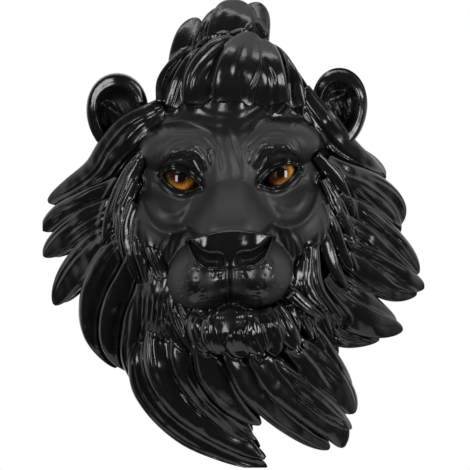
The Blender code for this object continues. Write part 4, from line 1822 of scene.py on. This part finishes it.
@dataclass(frozen=True)
class Ear:
    """A round ear: a broad rim round a cup with ridges of fur, on a foot in the hair.

    The section gives the reach from the ear's middle, as a share of its half width, and the
    lift above the rim depth.
    """

    across: float
    up: float
    half_width: float
    half_height: float
    seed: int
    tilt: Span
    ridges: tuple[Path, ...]
    rim_depth: float = 44.0
    taper: float = 0.1
    sides: int = 130
    steps: int = 100
    section: Path = (
        (0.5, -33.0), (0.8, -24.0), (0.97, -11.0), (1.0, -1.0), (0.975, 2.9), (0.9, 4.6),
        (0.8, 5.6), (0.71, 6.3), (0.66, 5.4), (0.6, 0.5), (0.52, -5.5), (0.4, -8.5),
        (0.2, -9.5), (0.05, -9.5),
    )
    front_span: Span = (0.2, 0.35)
    cup_edge: Span = (0.62, 0.4)
    fur_height: float = 0.3
    fur_rates: Span = (0.9, 0.45)
    ridge_height: float = 3.6
    ridge_width: float = 2.5
    unevenness: float = 0.4
    uneven_scale: float = 15.0
    rim_gloss: float = 0.95
    cup_dullness: float = 0.5
    flow_size: Span = (120.0, 40.0)

    def shells(self) -> list[Shell]:
        """Carry a smooth section round the ear's outline.

        The section runs from the foot over the back and the sloping rim into the cup. Soft
        lumps make it uneven, ridges of fur stand in the cup, and the front leans by the tilt,
        which is its rise in depth for each millimetre across and up.

        Returns:
            One closed shell.
        """
        place = np.linspace(0.0, 1.0, self.steps)
        section = smooth_curve(np.array(self.section), place)
        reach, lift = section[:, :1], section[:, 1:]
        turn = np.linspace(0.0, 2.0 * math.pi, self.sides, endpoint=False)
        cos, sin = np.cos(turn)[None, :], np.sin(turn)[None, :]
        across = self.across + reach * self.half_width * cos * (1.0 + self.taper * sin)
        up = self.up + reach * self.half_height * sin
        beside, above = across - self.across, up - self.up
        front = smooth_step(*self.front_span, place)[:, None]
        cup = smooth_step(*self.cup_edge, reach) * front
        fine = np.sin(self.fur_rates[0] * beside + self.fur_rates[1] * above)
        fur = self.fur_height * fine ** 2
        for ridge in self.ridges:
            gap = path_distance(across, up, ridge)[0]
            fur = fur + self.ridge_height * bell(gap, self.ridge_width)
        uneven = self.unevenness * Noise(self.uneven_scale, self.seed).at(across, up)
        lean = self.tilt[0] * beside + self.tilt[1] * above
        depth = self.rim_depth + lift + front * (uneven + lean) + cup * fur
        grid = np.stack([across, up, depth], axis=-1)
        uv = np.zeros((self.steps, self.sides + 1, 2))
        uv[:, :, 0] = np.linspace(0.0, self.flow_size[0], self.sides + 1)[None, :]
        uv[:, :, 1] = self.flow_size[1] * place[:, None]
        gloss = np.tile(self.rim_gloss - self.cup_dullness * cup, (1, self.sides))
        return [tube_shell(grid, uv, gloss)]


@dataclass(frozen=True)
class Ears:
    """The two ears, each with its own place, tilt and ridges of fur."""

    left: Ear = Ear(-74.2, 77.0, 19.6, 25.7, 41, (0.02, 0.24), (
        ((-83.3, 81.7), (-81.6, 71.0), (-78.8, 60.6)),
        ((-82.0, 82.4), (-74.8, 76.8), (-67.9, 72.8)),
    ))
    right: Ear = Ear(67.0, 80.5, 17.7, 25.5, 42, (-0.08, -0.16), (
        ((55.5, 82.0), (61.5, 86.2), (69.9, 89.4)),
        ((56.4, 74.7), (61.5, 81.1)),
    ))

    def named(self) -> dict[str, Ear]:
        """Return each ear under the name of its piece."""
        return {"ear_left": self.left, "ear_right": self.right}


class EyeSide(Enum):
    """The side of each eye, as a sign, and the direction of the painted light in its iris."""

    LEFT = (-1, (0.15, -1.0))
    RIGHT = (1, (0.9, -0.4))


@dataclass(frozen=True)
class GlassEye:
    """A glass eye: a ball with a slight bulge over the iris."""

    side: EyeSide
    shape: EyeShape
    axis: float
    roll: float
    rings: int = 60
    sides: int = 96
    pole_angle: float = 0.02
    bulge: float = 0.5
    bulge_angle: float = 0.5
    iris_rise: float = 1.5

    @property
    def centre(self) -> tuple[float, float, float]:
        """Centre of the ball, as (across, up, depth)."""
        across = self.side.value[0] * self.shape.across
        return (self.axis + across, self.shape.up + self.roll * across, self.shape.depth)

    def shells(self) -> list[Shell]:
        """Work out the ball on rings round its line of sight.

        The radius is r plus a bell of the angle from the line of sight.

        Returns:
            One closed shell.
        """
        tilt = np.linspace(self.pole_angle, math.pi - self.pole_angle, self.rings)[:, None]
        turn = np.linspace(0.0, 2.0 * math.pi, self.sides, endpoint=False)[None, :]
        radius = self.shape.radius - self.bulge + self.bulge * bell(tilt, self.bulge_angle)
        grid = np.stack([
            self.centre[0] + radius * np.sin(tilt) * np.cos(turn),
            self.centre[1] + radius * np.sin(tilt) * np.sin(turn),
            self.centre[2] + radius * np.cos(tilt) + 0.0 * turn,
        ], axis=-1)
        uv = np.zeros((self.rings, self.sides + 1, 2))
        return [tube_shell(grid, uv, np.ones(grid.shape[:2]))]

    def finish(self) -> bpy.types.Material:
        """Build the eye's own glass, whose iris lies a little above the ball's centre.

        Returns:
            The material.
        """
        across, up, depth = self.centre
        centre = (across * MM, -depth * MM, (up + self.iris_rise) * MM)
        # the second value is the direction of the painted light and painted shade in the iris
        outward, painted_light_direction = self.side.value
        name = "amber glass " + self.side.name.lower()
        return GlassEyeFinish(name, centre, painted_light_direction, outward).build()


@dataclass(frozen=True)
class Softbox:
    """A soft light that faces the head.

    Turn is in degrees to the right of straight in front, rise in degrees above level,
    distance and size in metres, and power in watts.
    """

    name: str
    turn: float
    rise: float
    distance: float
    size: Span
    power: float
    aim_depth: float = 0.06

    def hang(self) -> None:
        """Add the light to the scene."""
        data = bpy.data.lights.new(self.name, "AREA")
        data.shape = "RECTANGLE"
        data.size, data.size_y = self.size
        data.energy = self.power
        light = bpy.data.objects.new(self.name, data)
        bpy.context.scene.collection.objects.link(light)
        turn, rise = math.radians(self.turn), math.radians(self.rise)
        flat = self.distance * math.cos(rise)
        light.location = (
            flat * math.sin(turn),
            -flat * math.cos(turn) - self.aim_depth,
            self.distance * math.sin(rise),
        )
        light.rotation_euler = (math.radians(90.0 - self.rise), 0.0, turn)


@dataclass(frozen=True)
class Studio:
    """A white room with a dark camera side, three soft lights, a pale floor and a long lens."""

    lights: tuple[Softbox, ...] = (
        Softbox("left softbox", -32.0, 4.0, 1.4, (0.42, 1.1), 15.0),
        Softbox("right softbox", 47.0, 4.0, 1.4, (0.42, 1.1), 17.0),
        Softbox("top softbox", -5.0, 84.0, 1.2, (0.8, 0.15), 2.6),
    )
    back_edge: Span = (-0.3, 0.15)
    above_edge: Span = (-0.8, 0.0)
    room_strength: float = 0.95
    least_strength: float = 0.012
    camera_distance: float = 5.0
    camera_across: float = 0.0006
    camera_up: float = -0.0003
    view_width: float = 0.3013
    sensor: float = 36.0
    clip_end: float = 50.0
    floor_up: float = -1.7
    floor_half_width: float = 1.2
    floor_reach: Span = (-0.4, 0.9)
    floor_dark: Colour = (0.86, 0.86, 0.86, 1.0)
    floor_light: Colour = (0.9, 0.9, 0.9, 1.0)
    floor_roughness: float = 0.7
    cloud_scale: float = 3.0

    def _world(self) -> None:
        """White behind the object; in reflections the camera's side of the room is dark."""
        world = bpy.data.worlds.new("studio room")
        bpy.context.scene.world = world
        graph = Graph(world)
        direction = graph.node("ShaderNodeTexCoord")["Generated"]
        axes = graph.node("ShaderNodeSeparateXYZ", {}, {0: direction})
        room = axes["Y"].ease(*self.back_edge) * axes["Z"].ease(*self.above_edge)
        room = room * self.room_strength + self.least_strength
        seen = graph.node("ShaderNodeLightPath")["Is Camera Ray"]
        shader = graph.node("ShaderNodeBackground", {}, {
            "Color": (1.0, 1.0, 1.0, 1.0), "Strength": seen + (1.0 - seen) * room,
        })["Background"]
        graph.node("ShaderNodeOutputWorld", {}, {"Surface": shader})

    def _floor(self) -> None:
        """Lay a plain pale floor below the head."""
        data = bpy.data.meshes.new("floor")
        half, (front, rear) = self.floor_half_width, self.floor_reach
        corners = [(-half, front), (half, front), (half, rear), (-half, rear)]
        data.from_pydata([(x, y, self.floor_up) for x, y in corners], [], [(0, 1, 2, 3)])
        finish = bpy.data.materials.new("pale floor")
        graph = Graph(finish)
        cloud = graph.noise(graph.node("ShaderNodeTexCoord")["Object"], self.cloud_scale)
        shader = graph.node("ShaderNodeBsdfPrincipled", {}, {
            "Base Color": graph.mix(cloud, self.floor_dark, self.floor_light),
            "Roughness": self.floor_roughness,
        })["BSDF"]
        graph.node("ShaderNodeOutputMaterial", {}, {"Surface": shader})
        data.materials.append(finish)
        floor = bpy.data.objects.new("floor", data)
        bpy.context.scene.collection.objects.link(floor)
        floor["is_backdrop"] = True

    def _camera(self) -> None:
        """Set a camera straight in front, on a long lens that just frames the head."""
        data = bpy.data.cameras.new("camera")
        data.sensor_width = self.sensor
        data.lens = self.sensor * self.camera_distance / self.view_width
        data.clip_end = self.clip_end
        camera = bpy.data.objects.new("camera", data)
        bpy.context.scene.collection.objects.link(camera)
        camera.location = (self.camera_across, -self.camera_distance, self.camera_up)
        camera.rotation_euler = (math.radians(90.0), 0.0, 0.0)
        bpy.context.scene.camera = camera

    def build(self) -> None:
        """Set up the room, the floor, the camera and the lights."""
        self._world()
        self._floor()
        self._camera()
        for light in self.lights:
            light.hang()
        bpy.context.scene.view_settings.view_transform = "Standard"


def main() -> None:
    """Build every piece, dress it, and set the scene."""
    logging.basicConfig(level=logging.INFO, format="%(message)s")
    cad_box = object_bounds()
    maker = PieceMaker(CastBox(tuple(cad_box[0]), tuple(cad_box[1])))
    resin = ResinFinish("black resin").build()
    face = Face()
    dome = HairDome()
    groups = Hair().locks()
    relief = ReliefMap()
    relief.add(face.number, face)
    relief.add(dome.number, dome)
    for locks in groups.values():
        for lock in locks:
            relief.add(lock.number, lock, lock.reach())
    maker.make("face", face.shells(relief), resin, HEAD_NODE)
    maker.make("hair_dome", dome.shells(), resin, HEAD_NODE)
    for name, locks in groups.items():
        shells = [lock.shell(relief) for lock in locks]
        maker.make(name, shells, resin, HEAD_NODE)
    for name, ear in Ears().named().items():
        maker.make(name, ear.shells(), resin, HEAD_NODE)
    for side in EyeSide:
        label = side.name.lower()
        eye = GlassEye(side, face.eye, face.axis, face.roll)
        maker.make("glass_eye_" + label, eye.shells(), eye.finish(), "eye_" + label)
    Studio().build()


if __name__ == "__main__":
    main()
